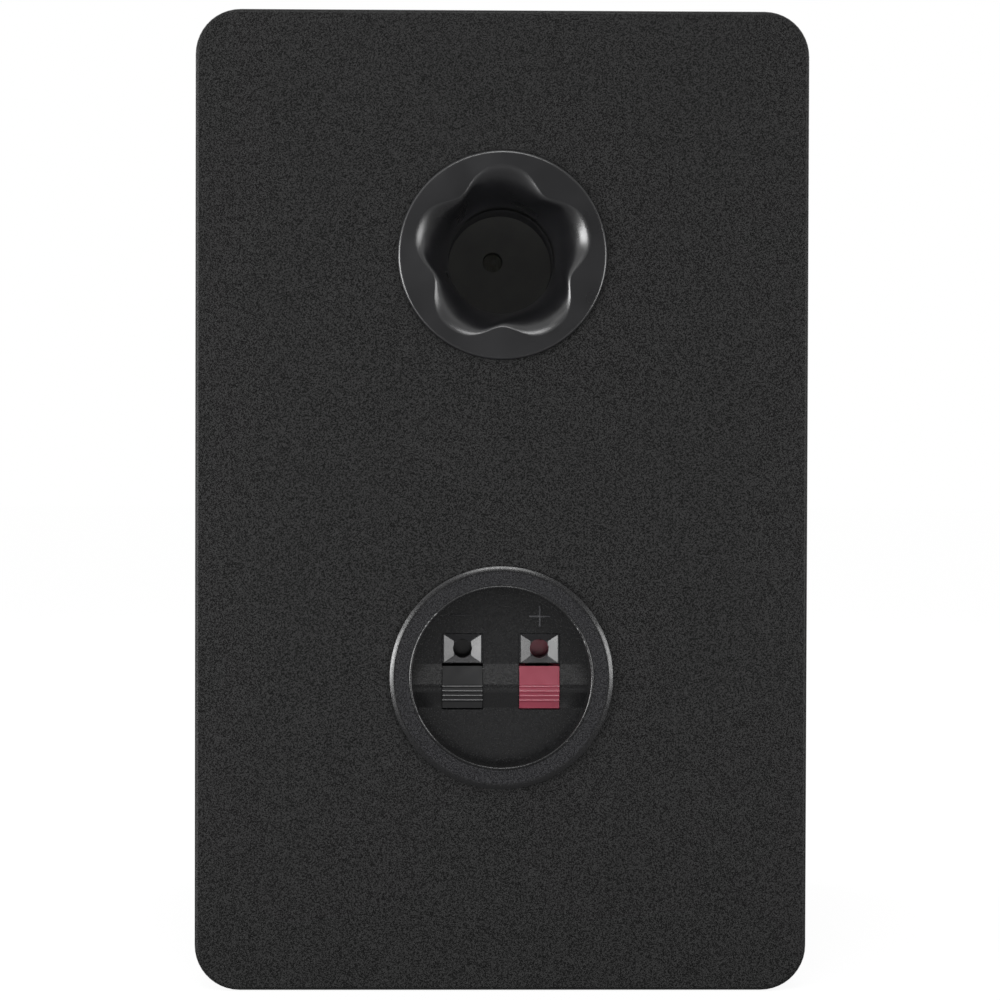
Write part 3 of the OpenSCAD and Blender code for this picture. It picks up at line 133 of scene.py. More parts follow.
class Finish:
    """A surface whose colour drifts between two tones, with a fine grain.

    The grain's size and depth and the drift's size are in millimetres. A smaller soft makes the
    step between the tones harder, the roughness varies by spread to each side, and along
    stretches the patches.
    """

    def __init__(self, name, tones, roughness, grain, depth, drift=9.0, spread=0.05, soft=0.25,
                 along=(1, 1, 1), **shine):
        self.material = bpy.data.materials.new(name)
        self.tree = emptied_tree(self.material)
        self.place = self.add("TexCoord", {}).outputs["Object"]
        grain_place = self.add("Mapping", {"Vector": self.place, "Location": GRAIN_SHIFT})
        stretched = self.add("Mapping", {"Vector": grain_place, "Scale": along})
        patches = self.add("TexNoise", {"Vector": stretched, "Scale": 1 / (drift * MM),
                                        "Detail": 3.0})
        tone = self.add("MapRange", {"Value": patches, "From Min": 0.5 - soft,
                                     "From Max": 0.5 + soft})
        blend = {FACTOR: tone, FIRST_COLOUR: paint(tones[0]), SECOND_COLOUR: paint(tones[1])}
        self.colour = self.add("Mix", blend, data_type="RGBA").outputs[MIXED_COLOUR]
        rough = self.add("MapRange", {"Value": tone, "To Min": roughness - spread,
                                      "To Max": roughness + spread})
        pebbles = self.add("TexNoise", {"Vector": grain_place, "Scale": 1 / (grain * MM),
                                        "Detail": 2.0})
        self.height = pebbles.outputs[0]
        self.bump = self.add("Bump", {"Height": self.height, "Distance": depth * MM})
        self.surface = self.add("BsdfPrincipled", {"Base Color": self.colour, "Roughness": rough,
                                                   "Normal": self.bump})
        for key, value in shine.items():
            self.surface.inputs[key.replace("_", " ")].default_value = value
        self.add("OutputMaterial", {"Surface": self.surface})

    def add(self, kind, inputs, **settings):
        return add(self.tree, kind, inputs, **settings)

    def recolour(self, colour):
        self.tree.links.new(colour, self.surface.inputs["Base Color"])

    def threads(self, pitch, depth, *ways):
        """Rows of turns along one axis, or a plain weave along two, under the grain, with painted shade
        between the threads.

        The pitch and the depth are in millimetres. Returns the finish.
        """
        bands = {"Vector": self.place, "Scale": BAND_LENGTH / (pitch * MM),
                 "Distortion": BAND_WOBBLE}
        rows = [self.add("TexWave", bands, bands_direction=way).outputs["Fac"] for way in ways]
        height = rows[0]
        if len(rows) == 2:
            height = self.add("Math", {0: rows[0], 1: rows[1]}, operation="MAXIMUM")
        under = self.add("Bump", {"Height": height, "Distance": depth * MM})
        self.tree.links.new(under.outputs[0], self.bump.inputs["Normal"])
        # Painted shade: the colour is darkened where the threads dip, between turns and strands
        painted_shade = self.add("MapRange", {"Value": height, "To Min": PAINTED_SHADE_BETWEEN_THREADS, "To Max": 1.0})
        with_painted_shade = self.add("Mix", {FACTOR: 1.0, FIRST_COLOUR: self.colour, SECOND_COLOUR: painted_shade},
                          data_type="RGBA", blend_type="MULTIPLY")
        self.recolour(with_painted_shade.outputs[MIXED_COLOUR])
        return self


def radius_about(finish, matrix):
    """Distance in metres from a frame's axis, which runs along Y."""
    centre = matrix.translation
    offset = finish.add("Mapping", {"Vector": finish.place, "Location": (-centre.x, 0, -centre.z),
                                    "Scale": (1, 0, 1)})
    return finish.add("VectorMath", {0: offset}, operation="LENGTH").outputs["Value"]


# PVC film embossed with a fine leather grain: low sheen, a fine pebble of light and dark
vinyl = Finish("black embossed PVC film", ("#0a0a0a", "#222222"), 0.34, 0.32, 0.1, drift=0.3,
               soft=0.07, Specular_IOR_Level=0.15)

# Moulded ABS from a polished tool: an even satin black that draws soft, clear highlights
flare_plastic = Finish("satin black moulded ABS", ("#0d0d0e", "#0f0f11"), 0.3, 0.3, 0.002,
                       drift=14, Specular_IOR_Level=0.85)

# Moulded ABS: the recess and the lip are smooth, the ring between them is spark-textured
cup_plastic = Finish("spark-textured black ABS", ("#08080a", "#1b1b1d"), 0.28, 0.35, 0.06,
                     drift=0.4, soft=0.1, Specular_IOR_Level=0.65)
CUP_SMOOTH_TONE = "#0b0b0c"
# Radii in metres between which the texture comes in, and between which it goes out again
RING_START = {"From Min": 0.0225, "From Max": 0.0228}
RING_END = {"From Min": 0.0258, "From Max": 0.0261}

cup_radius = radius_about(cup_plastic, CUP)
past_start = cup_plastic.add("MapRange", {"Value": cup_radius, **RING_START})
past_end = cup_plastic.add("MapRange", {"Value": cup_radius, **RING_END})
ring = cup_plastic.add("Math", {0: past_start, 1: past_end}, operation="SUBTRACT")
ring_grain = cup_plastic.add("Math", {0: cup_plastic.height, 1: ring}, operation="MULTIPLY")
cup_plastic.tree.links.new(ring_grain.outputs[0], cup_plastic.bump.inputs["Height"])
cup_tones = {FACTOR: ring, FIRST_COLOUR: paint(CUP_SMOOTH_TONE), SECOND_COLOUR: cup_plastic.colour}
cup_colour = cup_plastic.add("Mix", cup_tones, data_type="RGBA")
cup_plastic.recolour(cup_colour.outputs[MIXED_COLOUR])

# Moulded ABS without texture, for the guides and the housing: an even black with clear edges
guide_plastic = Finish("smooth black moulded ABS", ("#151516", "#1b1b1d"), 0.27, 0.4, 0.004,
                       drift=5, Specular_IOR_Level=0.57)

# Painted highlight: the relief alone leaves the plus too dark to read, so its ABS is painted paler, in place
# of the light that its raised strokes would catch
plus_painted_highlight_plastic = Finish("ABS paled for a painted highlight", ("#2b2b2d", "#343436"), 0.24, 0.3, 0.004, drift=1.5,
                      Specular_IOR_Level=0.8)

COPPER_TONES = ("#8f4a22", "#a65a2c")

FINISHES = {
    "cabinet_wrap": vinyl,
    "port_plastic": flare_plastic,
    # Extruded PVC tube: an even, dull dark grey
    "tube_plastic": Finish("extruded grey PVC", ("#343436", "#3c3c3e"), 0.5, 0.5, 0.01),
    "cup_plastic": cup_plastic,
    # The levers' ABS is the shiniest of the rear face's plastics
    "lever_black": Finish("satin black lever ABS", ("#0c0c0d", "#101011"), 0.19, 0.3, 0.003,
                          drift=4, Specular_IOR_Level=1.0),
    "lever_red": Finish("satin red lever ABS", ("#652330", "#6e2836"), 0.22, 0.3, 0.003,
                        drift=4, Specular_IOR_Level=1.0),
    # Softwood off the saw: pale, with soft brown streaks
    "block_wood": Finish("sawn pine", ("#a98455", "#c4a273"), 0.7, 0.5, 0.08, drift=2,
                         along=(1, 0.04, 1)),
    # Polyester batting: white, matt and lofty
    "wadding": Finish("polyester batting", ("#c6c4bd", "#e8e6e0"), 0.95, 0.5, 0.6, drift=1.6,
                      along=(1, 0.3, 0.3), Sheen_Weight=0.3),
    # Closed-cell foam strip: matt black with pin holes
    "gasket_foam": Finish("closed-cell foam", ("#141414", "#1c1c1c"), 0.85, 0.35, 0.08),
    # Zinc-plated steel: pale grey with a faint spangle
    "zinc_screw": Finish("zinc-plated steel", ("#a9a9a8", "#bcbcba"), 0.32, 0.4, 0.006,
                         Metallic=1.0),
    # Black oxide on steel: dark, with a dull oily sheen
    "black_screw": Finish("black oxide steel", ("#1b1b1c", "#242425"), 0.38, 0.3, 0.006,
                          Metallic=0.6),
    # Rolled spring strip: faint straw tint from its heat
    "spring_steel": Finish("blued spring strip", ("#a39878", "#b5ab8d"), 0.28, 0.5, 0.003,
                           Metallic=1.0),
    # Nickel plate: warm white metal
    "contact_metal": Finish("nickel-plated strip", ("#b9b6ac", "#c8c5bc"), 0.24, 0.5, 0.002,
                            Metallic=1.0),
    # Powder coat: black orange peel
    "pressed_steel": Finish("black powder coat", ("#1d1d1e", "#262627"), 0.42, 0.6, 0.02),
    # Moulded ABS from an etched tool: a softer satin than the flare's
    "trim_plastic": Finish("satin black trim ABS", ("#19191b", "#202022"), 0.36, 0.45, 0.015,
                           drift=12),
    # Butyl rubber: matt with a soft bloom
    "surround_rubber": Finish("butyl rubber", ("#161617", "#1e1e1f"), 0.55, 0.5, 0.01, drift=6),
    # Coated paper pulp: felted fibres under a thin black coat
    "cone_paper": Finish("coated paper pulp", ("#191a1b", "#242526"), 0.62, 0.7, 0.06, drift=2.5),
    # Phenolic-dipped cotton: amber, with the cloth's threads
    "spider_cloth": Finish("phenolic-dipped cotton", ("#9a6c2c", "#b4843d"), 0.6, 0.4,
                           0.05).threads(0.7, 0.15, "X", "Z"),
    # Enamelled copper wire: bright turns side by side round an axis that runs to the front.
    # They are drawn thicker than such wire, so that they show
    "copper_wire": Finish("enamelled copper wire", COPPER_TONES, 0.3, 0.5, 0.004,
                          Metallic=0.9).threads(0.35, 0.1, "Y"),
    # Zinc on thick plate: a darker and duller grey than the screws'
    "plate_steel": Finish("zinc-plated steel plate", ("#8d8d8d", "#a0a09f"), 0.36, 0.5, 0.006,
                          Metallic=1.0),
    # Ground ferrite: dark grey and chalky, with small chips
    "ferrite": Finish("ground ferrite", ("#232326", "#303034"), 0.6, 0.5, 0.03),
    # Phenolic paper board: brown and slightly glossy
    "fibre_strip": Finish("phenolic paper board", ("#5a3b20", "#6f4a29"), 0.45, 0.5, 0.01),
    # Copper braid: small bright plaits
    "braided_copper": Finish("braided copper", ("#a8764a", "#c08a5a"), 0.4, 0.4, 0.02,
                             Metallic=0.9).threads(0.5, 0.15, "X", "Y"),
    # Silk stretched over a form and brushed with damping compound: a soft black sheen over a
    # weave, which is drawn coarser than silk's, so that it shows
    "dome_silk": Finish("coated silk", ("#161617", "#202021"), 0.5, 0.25, 0.01,
                        drift=3).threads(0.4, 0.05, "X", "Z"),
    # Pressed wool felt: matt grey fibres
    "felt": Finish("pressed wool felt", ("#77776f", "#9c9c95"), 0.95, 0.3, 0.2, drift=0.6,
                   along=(1, 0.4, 0.4), Sheen_Weight=0.4),
    # Tin over brass: a pale yellow metal with a soft shine
    "tab_brass": Finish("tinned brass", ("#b09a62", "#c4b078"), 0.3, 0.5, 0.004, Metallic=1.0),
    # Hardboard: brown felted fibre, smooth on its face
    "board": Finish("tempered hardboard", ("#5e4426", "#745430"), 0.55, 0.5, 0.02, drift=2),
    # Nylon without pigment: milky, with a little light inside it
    "spacer_plastic": Finish("natural nylon", ("#c9c6b9", "#d6d3c8"), 0.4, 0.5, 0.005,
                             Subsurface_Weight=0.1),
    # Nylon filled with glass fibres: a dull, slightly rough black
    "bobbin_plastic": Finish("glass-filled nylon", ("#1c1c1f", "#26262a"), 0.5, 0.4, 0.015),
    # Polyester tape over the winding, ends sealed with resin
    "capacitor_film": Finish("taped film capacitor", ("#6d2420", "#7e2d27"), 0.25, 0.6, 0.01),
    # Cement-filled ceramic: chalky white with pits
    "ceramic": Finish("cement-filled ceramic", ("#cbc7bb", "#dcd8cd"), 0.8, 0.6, 0.05),
    # PVC insulation: smooth and slightly waxy
    "wire_red": Finish("red PVC insulation", ("#8c2822", "#9c3129"), 0.42, 0.6, 0.004),
    "wire_blue": Finish("blue PVC insulation", ("#27517c", "#2f5d8c"), 0.42, 0.6, 0.004),
    "wire_green": Finish("green PVC insulation", ("#335f30", "#3c6e38"), 0.42, 0.6, 0.004),
}

SLOTS = {part["node"]: part["material_slot"] for part in frame["record"]["subparts"]}
# Nodes that look different from the rest of their slot
OWN_FINISH = {
    "clip_housing": guide_plastic,
    "wire_guides": guide_plastic,
    # The same enamelled wire, wound round upright bobbins in turns thick enough to see
    "inductor_windings": Finish("enamelled inductor wire", COPPER_TONES, 0.3, 0.5, 0.004,
                                Metallic=0.9).threads(0.9, 0.3, "Z"),
    # Passivated steel: a duller, lighter grey than the plates, without a mirror
    "tweeter_yoke": Finish("passivated steel", ("#8a8a8a", "#9b9b9a"), 0.6, 0.5, 0.006,
                           Metallic=0.3),
}

for name, node in frame["nodes"].items():
    node.data.materials.clear()
    node.data.materials.append(OWN_FINISH.get(name, FINISHES[SLOTS[name]]).material)


# ================= making pieces =================

# Profiles, outlines and their constants are in millimetres, and angles in degrees
MERGE_DISTANCE = 1e-4


def in_scene(name, data):
    """A new object in the scene that shows some data."""
    thing = bpy.data.objects.new(name, data)
    bpy.context.scene.collection.objects.link(thing)
    return thing


def settle(bm, name, matrix, finish, crease):
    """Makes a finished bmesh in a frame's millimetres into a piece at the origin."""
    bmesh.ops.remove_doubles(bm, verts=bm.verts, dist=MERGE_DISTANCE)
    bmesh.ops.transform(bm, matrix=matrix, verts=bm.verts)
    bmesh.ops.recalc_face_normals(bm, faces=bm.faces)
    mesh = bpy.data.meshes.new(name)
    bm.to_mesh(mesh)
    bm.free()
    for face in mesh.polygons:
        face.use_smooth = True
    mesh.set_sharp_from_angle(angle=math.radians(crease))
    mesh.materials.append(finish.material)
    return in_scene(name, mesh)


def arc(centre, radius, start, end, steps):
    """Points on an arc of a profile."""
    turns = [math.radians(start + (end - start) * i / steps) for i in range(steps + 1)]
    return [(centre[0] + radius * math.cos(a), centre[1] + radius * math.sin(a)) for a in turns]


def lathe(profile, steps):
    """Spins a closed profile of radius and height round the z axis."""
    bm = bmesh.new()
    rim = [bm.verts.new((r, 0, z)) for r, z in profile]
    edges = [bm.edges.new((rim[i - 1], rim[i])) for i in range(len(rim))]
    bmesh.ops.spin(bm, geom=rim + edges, cent=(0, 0, 0), axis=(0, 0, 1), angle=math.tau,
                   steps=steps, use_merge=True)
    return bm


def copy_of(node, name, finish, crease, keep=lambda p: True):
    """A merged copy of a CAD node's mesh, or of the part of it that keep picks."""
    bm = bmesh.new()
    bm.from_mesh(frame["nodes"][node].data)
    bmesh.ops.remove_doubles(bm, verts=bm.verts, dist=MERGE_DISTANCE * MM)
    bmesh.ops.delete(bm, geom=[v for v in bm.verts if not keep(v.co)], context="VERTS")
    bmesh.ops.scale(bm, vec=(1 / MM, 1 / MM, 1 / MM), verts=bm.verts)
    return settle(bm, name, Matrix.Scale(MM, 4), finish, crease)


def ride_with(piece, body, slot, *replaced):
    """Puts a piece on a body, in place of CAD nodes where it replaces any."""
    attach(piece, body)
    if replaced:
        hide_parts(*replaced)


def soften(piece, a, b, node, weight):
    """Blends a piece from body a to body b by a weight at each vertex, in place of a CAD node."""
    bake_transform(piece, a, b, start=(0, 0, 0), end=(0, 0, 1))
    values = piece.data.attributes["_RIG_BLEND"].data
    for vertex, value in zip(piece.data.vertices, values):
        t = min(1.0, max(0.0, weight(vertex.co)))
        value.value = t * t * (3 - 2 * t)
    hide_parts(node)


# ---- port flare ----

THROAT_R = 13.4
LOBES = 5
LOBE_R = 22.2
VALLEY_R = 17.6
# Above 0, the lobes are broader and the valleys between them narrower
SHARPNESS = 0.15
# Angle by which the lobes turn on their way from the lip to the throat
TWIST = 36.0
FLARE_DEPTH = 21.0
# The bell is a quarter ellipse that is cut off just before its end, where it would lie flat
LIP_START = 3.0
BELL_STEPS = 44
# Below 1, the bell's levels lie closer together towards the lip
CROWDING = 0.8

FLANGE_R = 25.6
FLANGE_T = 1.6
FLANGE_EDGE_R = 0.7
FLANGE_EDGE_STEPS = 6
# Levels on the flange's flat, as shares of its width
FLAT_SHARES = (0.02, 0.06, 0.25, 0.5, 0.75, 0.95)

COLLAR_R = 23.7
COLLAR_WALL = 1.1
COLLAR_END = -9.0
# Floor of the groove between the collar and the bell
GROOVE_FLOOR = -0.5
BELL_WALL = 2.0
BACK_STEPS = 12
TAIL_END = -29.4
FLARE_SEGMENTS = 300
FLARE_CREASE = 30

LIP_COS = math.cos(math.radians(LIP_START))
LIP_SIN = math.sin(math.radians(LIP_START))


def bell_depth(t):
    """Depth behind the flange's face at t degrees along the quarter ellipse."""
    return FLARE_DEPTH * (LIP_COS - math.cos(math.radians(t))) / LIP_COS


def bell_reach(t):
    """How far the bell still reaches out at t degrees: 1 at the lip, 0 at the throat."""
    return (1 - math.sin(math.radians(t))) / (1 - LIP_SIN)


def bell_radius(turn, t):
    """Inner radius at an angle round the port and at t degrees along the quarter ellipse."""
    a = turn - math.radians(90 + TWIST * bell_depth(t) / FLARE_DEPTH)
    lobe = math.cos(LOBES * a) - SHARPNESS * math.cos(2 * LOBES * a)
    widest = (LOBE_R + VALLEY_R) / 2 - THROAT_R + (SHARPNESS + lobe) * (LOBE_R - VALLEY_R) / 2
    return THROAT_R + widest * bell_reach(t)


def flare_levels():
    """Each level of the flare's skin as a function from angle to radius and a height.

    They run from the tail's end up the inside, over the flange and down the back.
    """
    flat_r = FLANGE_R - FLANGE_EDGE_R

    def bell(t):
        return lambda turn: bell_radius(turn, t)

    def flat(share):
        return lambda turn: (1 - share) * bell_radius(turn, LIP_START) + share * flat_r

    def circle(r):
        return lambda turn: r

    inside = [(circle(THROAT_R), TAIL_END)]
    for i in range(BELL_STEPS + 1):
        t = 90 - (90 - LIP_START) * (i / BELL_STEPS) ** CROWDING
        inside.append((bell(t), FLANGE_T - bell_depth(t)))
    inside += [(flat(share), FLANGE_T) for share in FLAT_SHARES]

    edge = arc((flat_r, FLANGE_T - FLANGE_EDGE_R), FLANGE_EDGE_R, 90, 0, FLANGE_EDGE_STEPS)
    groove_r = COLLAR_R - COLLAR_WALL
    collar = [(FLANGE_R, 0.0), (COLLAR_R, 0.0), (COLLAR_R, COLLAR_END), (groove_r, COLLAR_END),
              (groove_r, GROOVE_FLOOR)]
    # The bell's back is round, and clears the lobes by the thickness of its wall
    back = []
    first = math.degrees(math.acos(LIP_COS * (1 - (FLANGE_T - GROOVE_FLOOR) / FLARE_DEPTH)))
    for i in range(BACK_STEPS + 1):
        t = first + (90 - first) * i / BACK_STEPS
        radius = THROAT_R + BELL_WALL + (LOBE_R - THROAT_R) * bell_reach(t)
        back.append((radius, FLANGE_T - bell_depth(t)))
    back.append((THROAT_R + BELL_WALL, TAIL_END))
    return inside + [(circle(r), w) for r, w in edge + collar + back]


def make_flare():
    """The flare's skin, grown level by level from the end of its tail and closed there."""
    bm = bmesh.new()
    levels = flare_levels()
    bmesh.ops.create_circle(bm, segments=FLARE_SEGMENTS, radius=THROAT_R)
    edges = list(bm.edges)
    first = edges
    for vertex in bm.verts:
        vertex.co.z = levels[0][1]
    for radius, w in levels[1:]:
        grown = bmesh.ops.extrude_edge_only(bm, edges=edges)["geom"]
        verts = {g for g in grown if isinstance(g, bmesh.types.BMVert)}
        edges = [g for g in grown
                 if isinstance(g, bmesh.types.BMEdge) and verts.issuperset(g.verts)]
        for vertex in verts:
            turn = math.atan2(vertex.co.y, vertex.co.x)
            outwards = Vector((math.cos(turn), math.sin(turn), 0))
            vertex.co = outwards * radius(turn) + Vector((0, 0, w))
    bmesh.ops.bridge_loops(bm, edges=first + edges)
    return settle(bm, "flare", PORT, flare_plastic, FLARE_CREASE)


ride_with(make_flare(), "enclosure", "port_plastic", "port_flare")


# ---- polarity marks on the cup's floor ----

FLOOR_W = -7.0
MARK_PROUD = 0.3
# How far a sign goes down into the floor
MARK_ROOT = 0.1
MARK_EDGE_R = 0.2
MARK_EDGE_STEPS = 5
MARK_CREASE = 80
PLUS_PLACE = (9.6, 14.6)
PLUS_ARM = 2.6
MINUS_PLACE = (-9.8, 14.9)
MINUS_ARM = 2.8
HALF_STROKE = 0.25


def plus_outline(arm, half):
    """Corners of a plus, from the length of its arms and half the width of its strokes."""
    return [(half, half), (half, arm), (-half, arm), (-half, half), (-arm, half), (-arm, -half),
            (-half, -half), (-half, -arm), (half, -arm), (half, -half), (arm, -half), (arm, half)]


def minus_outline(arm, half):
    """Corners of a minus in the same measures."""
    return [(arm, half), (-arm, half), (-arm, -half), (arm, -half)]


def make_mark(name, outline, place, finish):
    """A raised sign with softened edges, centred on a place on the floor."""
    u, v = place
    bm = bmesh.new()
    corners = [bm.verts.new((u + x, v + y, FLOOR_W - MARK_ROOT)) for x, y in outline]
    top = bmesh.ops.extrude_face_region(bm, geom=[bm.faces.new(corners)])["geom"]
    raised = [g for g in top if isinstance(g, bmesh.types.BMVert)]
    bmesh.ops.translate(bm, vec=(0, 0, MARK_PROUD + MARK_ROOT), verts=raised)
    rim = [edge for edge in bm.edges if all(vertex in raised for vertex in edge.verts)]
    bmesh.ops.bevel(bm, geom=rim, offset=MARK_EDGE_R, segments=MARK_EDGE_STEPS, affect="EDGES",
                    profile=0.5, material=-1)
    return settle(bm, name, CUP, finish, MARK_CREASE)


plus = plus_outline(PLUS_ARM, HALF_STROKE)
minus = minus_outline(MINUS_ARM, HALF_STROKE)
# The plus's paler colour is a painted highlight on its relief
ride_with(make_mark("plus_mark", plus, PLUS_PLACE, plus_painted_highlight_plastic), "enclosure", "cup_plastic")
ride_with(make_mark("minus_mark", minus, MINUS_PLACE, guide_plastic), "enclosure", "cup_plastic")


# ---- bending parts of the drivers ----

ROLL_STEPS = 28
ROLL_CREASE = 50
# How far the roll's outside stands past half its width
ROLL_SWELL = 0.05

SPIDER_Z = -16.0
SPIDER_T = 0.35
SPIDER_INNER_R = 13.1
SPIDER_OUTER_R = 29.0
SPIDER_CREASE = 60
WAVES = 4
WAVE_START_R = 14.5
WAVE_PITCH = 2.55
WAVE_HEIGHT = 1.0
WAVE_STEPS = 14

COPY_CREASE = 45


def roll_profile(inner, outer, base, skin, inner_foot, outer_foot):
    """Closed section of a half-roll with a flat foot on each side."""
    mid = (inner + outer) / 2
    r = (outer - inner) / 2
    over = math.degrees(math.asin(skin / (r + ROLL_SWELL)))
    return ([(inner_foot, base), (inner_foot, base + skin)]
            + arc((mid, base), r + ROLL_SWELL, 180 - over, over, ROLL_STEPS)
            + [(outer_foot, base + skin), (outer_foot, base)]
            + arc((mid, base), r - skin, 0, 180, ROLL_STEPS))


def spider_profile():
    """Closed section of the waved disc between its two flat rims."""
    steps = WAVE_STEPS * WAVES
    waves = [(WAVE_START_R + i * WAVE_PITCH * WAVES / steps,
              WAVE_HEIGHT * math.sin(math.tau * i / WAVE_STEPS) + SPIDER_Z)
             for i in range(steps + 1)]
    return ([(SPIDER_INNER_R, SPIDER_Z - SPIDER_T)] + [(r, z - SPIDER_T) for r, z in waves]
            + [(SPIDER_OUTER_R, SPIDER_Z - SPIDER_T), (SPIDER_OUTER_R, SPIDER_Z)]
            + waves[::-1] + [(SPIDER_INNER_R, SPIDER_Z)])


def inwards(matrix, start, width):
    """A weight that grows from 0 at a radius round a frame's axis to 1 a width further in."""
    centre = matrix.translation
    return lambda p: (start - math.hypot(p.x - centre.x, p.z - centre.z) / MM) / width


surround_profile = roll_profile(inner=41.0, outer=47.0, base=2.0, skin=0.7, inner_foot=38.0,
                                outer_foot=51.45)
surround = settle(lathe(surround_profile, steps=192), "surround", WOOFER,
                  FINISHES["surround_rubber"], ROLL_CREASE)
dome_profile = roll_profile(inner=12.9, outer=15.9, base=-2.4, skin=0.35, inner_foot=12.75,
                            outer_foot=20.725)
dome_roll = settle(lathe(dome_profile, steps=144), "dome_roll", TWEETER, FINISHES["dome_silk"],
                   ROLL_CREASE)
spider = settle(lathe(spider_profile(), steps=168), "spider", WOOFER, FINISHES["spider_cloth"],
                SPIDER_CREASE)
leads = copy_of("woofer_tinsel_leads", "tinsel_leads", FINISHES["braided_copper"], COPY_CREASE)

soften(surround, "enclosure", "woofer_diaphragm", "woofer_surround",
       inwards(WOOFER, start=47.2, width=6.0))
soften(spider, "enclosure", "woofer_diaphragm", "woofer_spider",
       inwards(WOOFER, start=25.0, width=10.5))
soften(dome_roll, "enclosure", "tweeter_diaphragm", "tweeter_surround",
       inwards(TWEETER, start=15.9, width=2.9))
soften(leads, "enclosure", "woofer_diaphragm", "woofer_tinsel_leads",
       inwards(WOOFER, start=33.5, width=9.0))


# ---- padded parts ----

ROUNDING_PASSES = 8
# Every point sinks by a share of the full depth, which coarse and fine lumps vary
SINK_SHARE = 0.7
COARSE_LUMPS = 0.5
FINE_LUMPS = 0.2
# Size of the fine lumps against the coarse ones
FINE_SIZE = 0.4
LOFTY_CREASE = 60


def lofty(node, name, finish, voxel, lump, sink):
    """A node's solid with rounded edges and faces that sink unevenly below their own place."""
    firm = copy_of(node, name + "_firm", finish, COPY_CREASE)
    remesh = firm.modifiers.new("remesh", "REMESH")
    remesh.mode = "VOXEL"
    remesh.voxel_size = voxel * MM
    rounding = firm.modifiers.new("rounding", "SMOOTH")
    rounding.factor = 0.5
    rounding.iterations = ROUNDING_PASSES
    bm = bmesh.new()
    bm.from_object(firm, bpy.context.evaluated_depsgraph_get())
    bpy.data.objects.remove(firm)
    bm.normal_update()
    for vertex in bm.verts:
        coarse = noise.noise(vertex.co / (lump * MM))
        fine = noise.noise(vertex.co / (lump * FINE_SIZE * MM))
        share = SINK_SHARE + COARSE_LUMPS * coarse + FINE_LUMPS * fine
        vertex.co -= vertex.normal * sink * MM * share
    bmesh.ops.scale(bm, vec=(1 / MM, 1 / MM, 1 / MM), verts=bm.verts)
    return settle(bm, name, Matrix.Scale(MM, 4), finish, LOFTY_CREASE)


lining = lofty("wadding", "lining", FINISHES["wadding"], voxel=3.0, lump=13.0, sink=2.4)
ride_with(lining, "enclosure", "wadding", "wadding")
felt_pads = lofty("tweeter_felt", "felt_pads", FINISHES["felt"], voxel=0.3, lump=1.0, sink=0.14)
ride_with(felt_pads, "enclosure", "felt", "tweeter_felt")


# ---- clip springs ----

# Above 1, so that the last stretch of a spring moves wholly with its lever
SPRING_WEIGHT = 1.1

spring_low, spring_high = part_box("clip_springs")
for side, body in ((1, "negative_lever"), (-1, "positive_lever")):
    spring = copy_of("clip_springs", body.split("_")[0] + "_spring", FINISHES["spring_steel"],
                     COPY_CREASE, lambda p: p.x * side > 0)
    soften(spring, "enclosure", body, "clip_springs",
           lambda p: (spring_high.z - p.z) / (spring_high.z - spring_low.z) * SPRING_WEIGHT)


# ================= stage =================

# Lengths are in metres from here on
MIDDLE = (0, 0.05, 0.12)
PORT_HEIGHT = 0.1802
FLOOR_HALF = 6.0
# The floor lies just under the object, so that no two faces share a plane
FLOOR_DROP = 0.0002
FLOOR_TONE = "#606060"
# What the floor gives off by itself, to the camera and to rays that mirror or refract it
FLOOR_SEEN = 0.9
FLOOR_MIRRORED = 0.1
# The world's strength on the camera's side, low down and high up
DIM_LOW = 0.08
DIM_HIGH = 0.4
# Range of a direction's Y or Z over which the world changes
FADE = {"From Min": 0.1, "From Max": 0.6}


def lamp(name, place, aim, width, height, radiance, mirrored=True):
    """A soft box that aims at a point; its power follows from the brightness of its face."""
    light = bpy.data.lights.new(name, "AREA")
    light.shape = "RECTANGLE"
    light.size = width
    light.size_y = height
    light.energy = radiance * math.pi * width * height
    box = in_scene(name, light)
    box.location = place
    box.rotation_euler = (Vector(place) - Vector(aim)).to_track_quat("Z", "Y").to_euler()
    box.visible_camera = False
    box.visible_glossy = mirrored


lamp("left box", (0.68, 0.60, 0.14), MIDDLE, 0.58, 0.30, 13.5)
lamp("right box", (-0.62, 0.66, 0.14), MIDDLE, 0.44, 0.30, 8.0)
lamp("upper left box", (0.52, 0.62, 0.72), MIDDLE, 0.30, 0.40, 1.0)
lamp("top box", (0, 0.74, 0.74), MIDDLE, 0.40, 0.20, 10.0)
# The light that a pale bench throws up from in front of the rear panel
lamp("low fill", (0, 0.55, 0.05), (0, 0.1, 0.12), 0.5, 0.09, 11.0, mirrored=False)
lamp("front left box", (-0.8, -0.8, 0.6), MIDDLE, 0.6, 0.6, 2.0)
lamp("front right box", (0.8, -0.8, 0.6), MIDDLE, 0.6, 0.6, 2.0)
# Two small lamps in the port, one for the depth of the cabinet and one for the flare
lamp("port fill", (0, 0.046, PORT_HEIGHT), (0, 0, PORT_HEIGHT), 0.04, 0.04, 1.0, mirrored=False)
lamp("flare fill", (0, 0.0785, PORT_HEIGHT), (0, 0.1, PORT_HEIGHT), 0.018, 0.018, 8.0,
     mirrored=False)

world = bpy.data.worlds.new("studio")
bpy.context.scene.world = world
tree = emptied_tree(world)
# A white room that is dim on the side the camera stands on, and lighter overhead
look = add(tree, "SeparateXYZ", {0: add(tree, "TexCoord", {}).outputs["Generated"]})
dim = add(tree, "MapRange", {"Value": look.outputs["Z"], **FADE, "To Min": DIM_LOW,
                             "To Max": DIM_HIGH})
glow = add(tree, "MapRange", {"Value": look.outputs["Y"], **FADE, "To Min": 1.0, "To Max": dim})
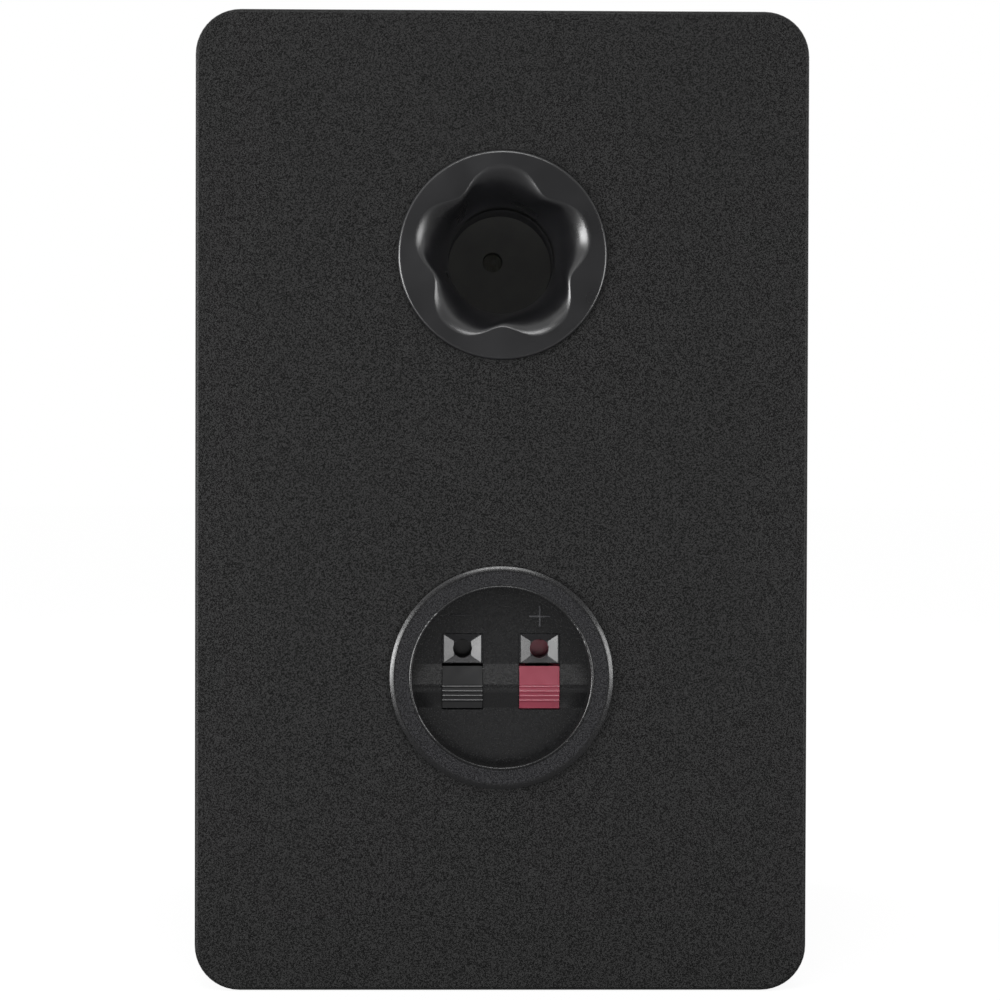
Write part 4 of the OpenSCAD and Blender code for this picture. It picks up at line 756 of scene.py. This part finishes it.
# The camera itself sees the whole room white
seen = add(tree, "LightPath", {}).outputs["Is Camera Ray"]
glow = add(tree, "Math", {0: glow, 1: seen}, operation="MAXIMUM")
shell = add(tree, "Background", {"Color": (1, 1, 1, 1), "Strength": glow})
add(tree, "OutputWorld", {"Surface": shell})

card = bpy.data.materials.new("white card")
tree = emptied_tree(card)
path = add(tree, "LightPath", {})
# The floor is white where the camera sees it, and dimmer in what mirrors or refracts it
mirrored = add(tree, "Math", {0: path.outputs["Is Glossy Ray"],
                              1: path.outputs["Is Transmission Ray"]}, operation="MAXIMUM")
mirrored = add(tree, "Math", {0: mirrored, 1: FLOOR_MIRRORED}, operation="MULTIPLY")
seen = add(tree, "Math", {0: path.outputs["Is Camera Ray"], 1: FLOOR_SEEN}, operation="MULTIPLY")
lift = add(tree, "Math", {0: seen, 1: mirrored}, operation="ADD")
matt = add(tree, "BsdfDiffuse", {"Color": paint(FLOOR_TONE)})
own = add(tree, "Emission", {"Strength": lift})
both = add(tree, "AddShader", {0: matt, 1: own})
add(tree, "OutputMaterial", {"Surface": both})

bm = bmesh.new()
bmesh.ops.create_grid(bm, x_segments=8, y_segments=8, size=FLOOR_HALF)
mesh = bpy.data.meshes.new("floor")
bm.to_mesh(mesh)
bm.free()
mesh.materials.append(card)
floor = in_scene("floor", mesh)
floor.location.z = -FLOOR_DROP


# ================= camera =================

CAMERA_PLACE = (0.01219, 0.79992, 0.1321)
# Degrees to the side, up and round the line of sight
PAN, TILT, ROLL = -0.961, 0.960, 0.166

camera = in_scene("camera", bpy.data.cameras.new("camera"))
camera.data.lens = 103.0
camera.data.sensor_width = 36.0
camera.data.clip_start = 0.01
turn = (Matrix.Rotation(math.radians(PAN), 4, "Z") @ Matrix.Rotation(math.radians(TILT), 4, "X")
        @ Matrix.Rotation(math.radians(ROLL), 4, "Y"))
camera.matrix_world = Matrix.Translation(CAMERA_PLACE) @ turn @ SEEN_FROM_BEHIND.to_4x4()
bpy.context.scene.camera = camera
bpy.context.scene.view_settings.view_transform = "Standard"
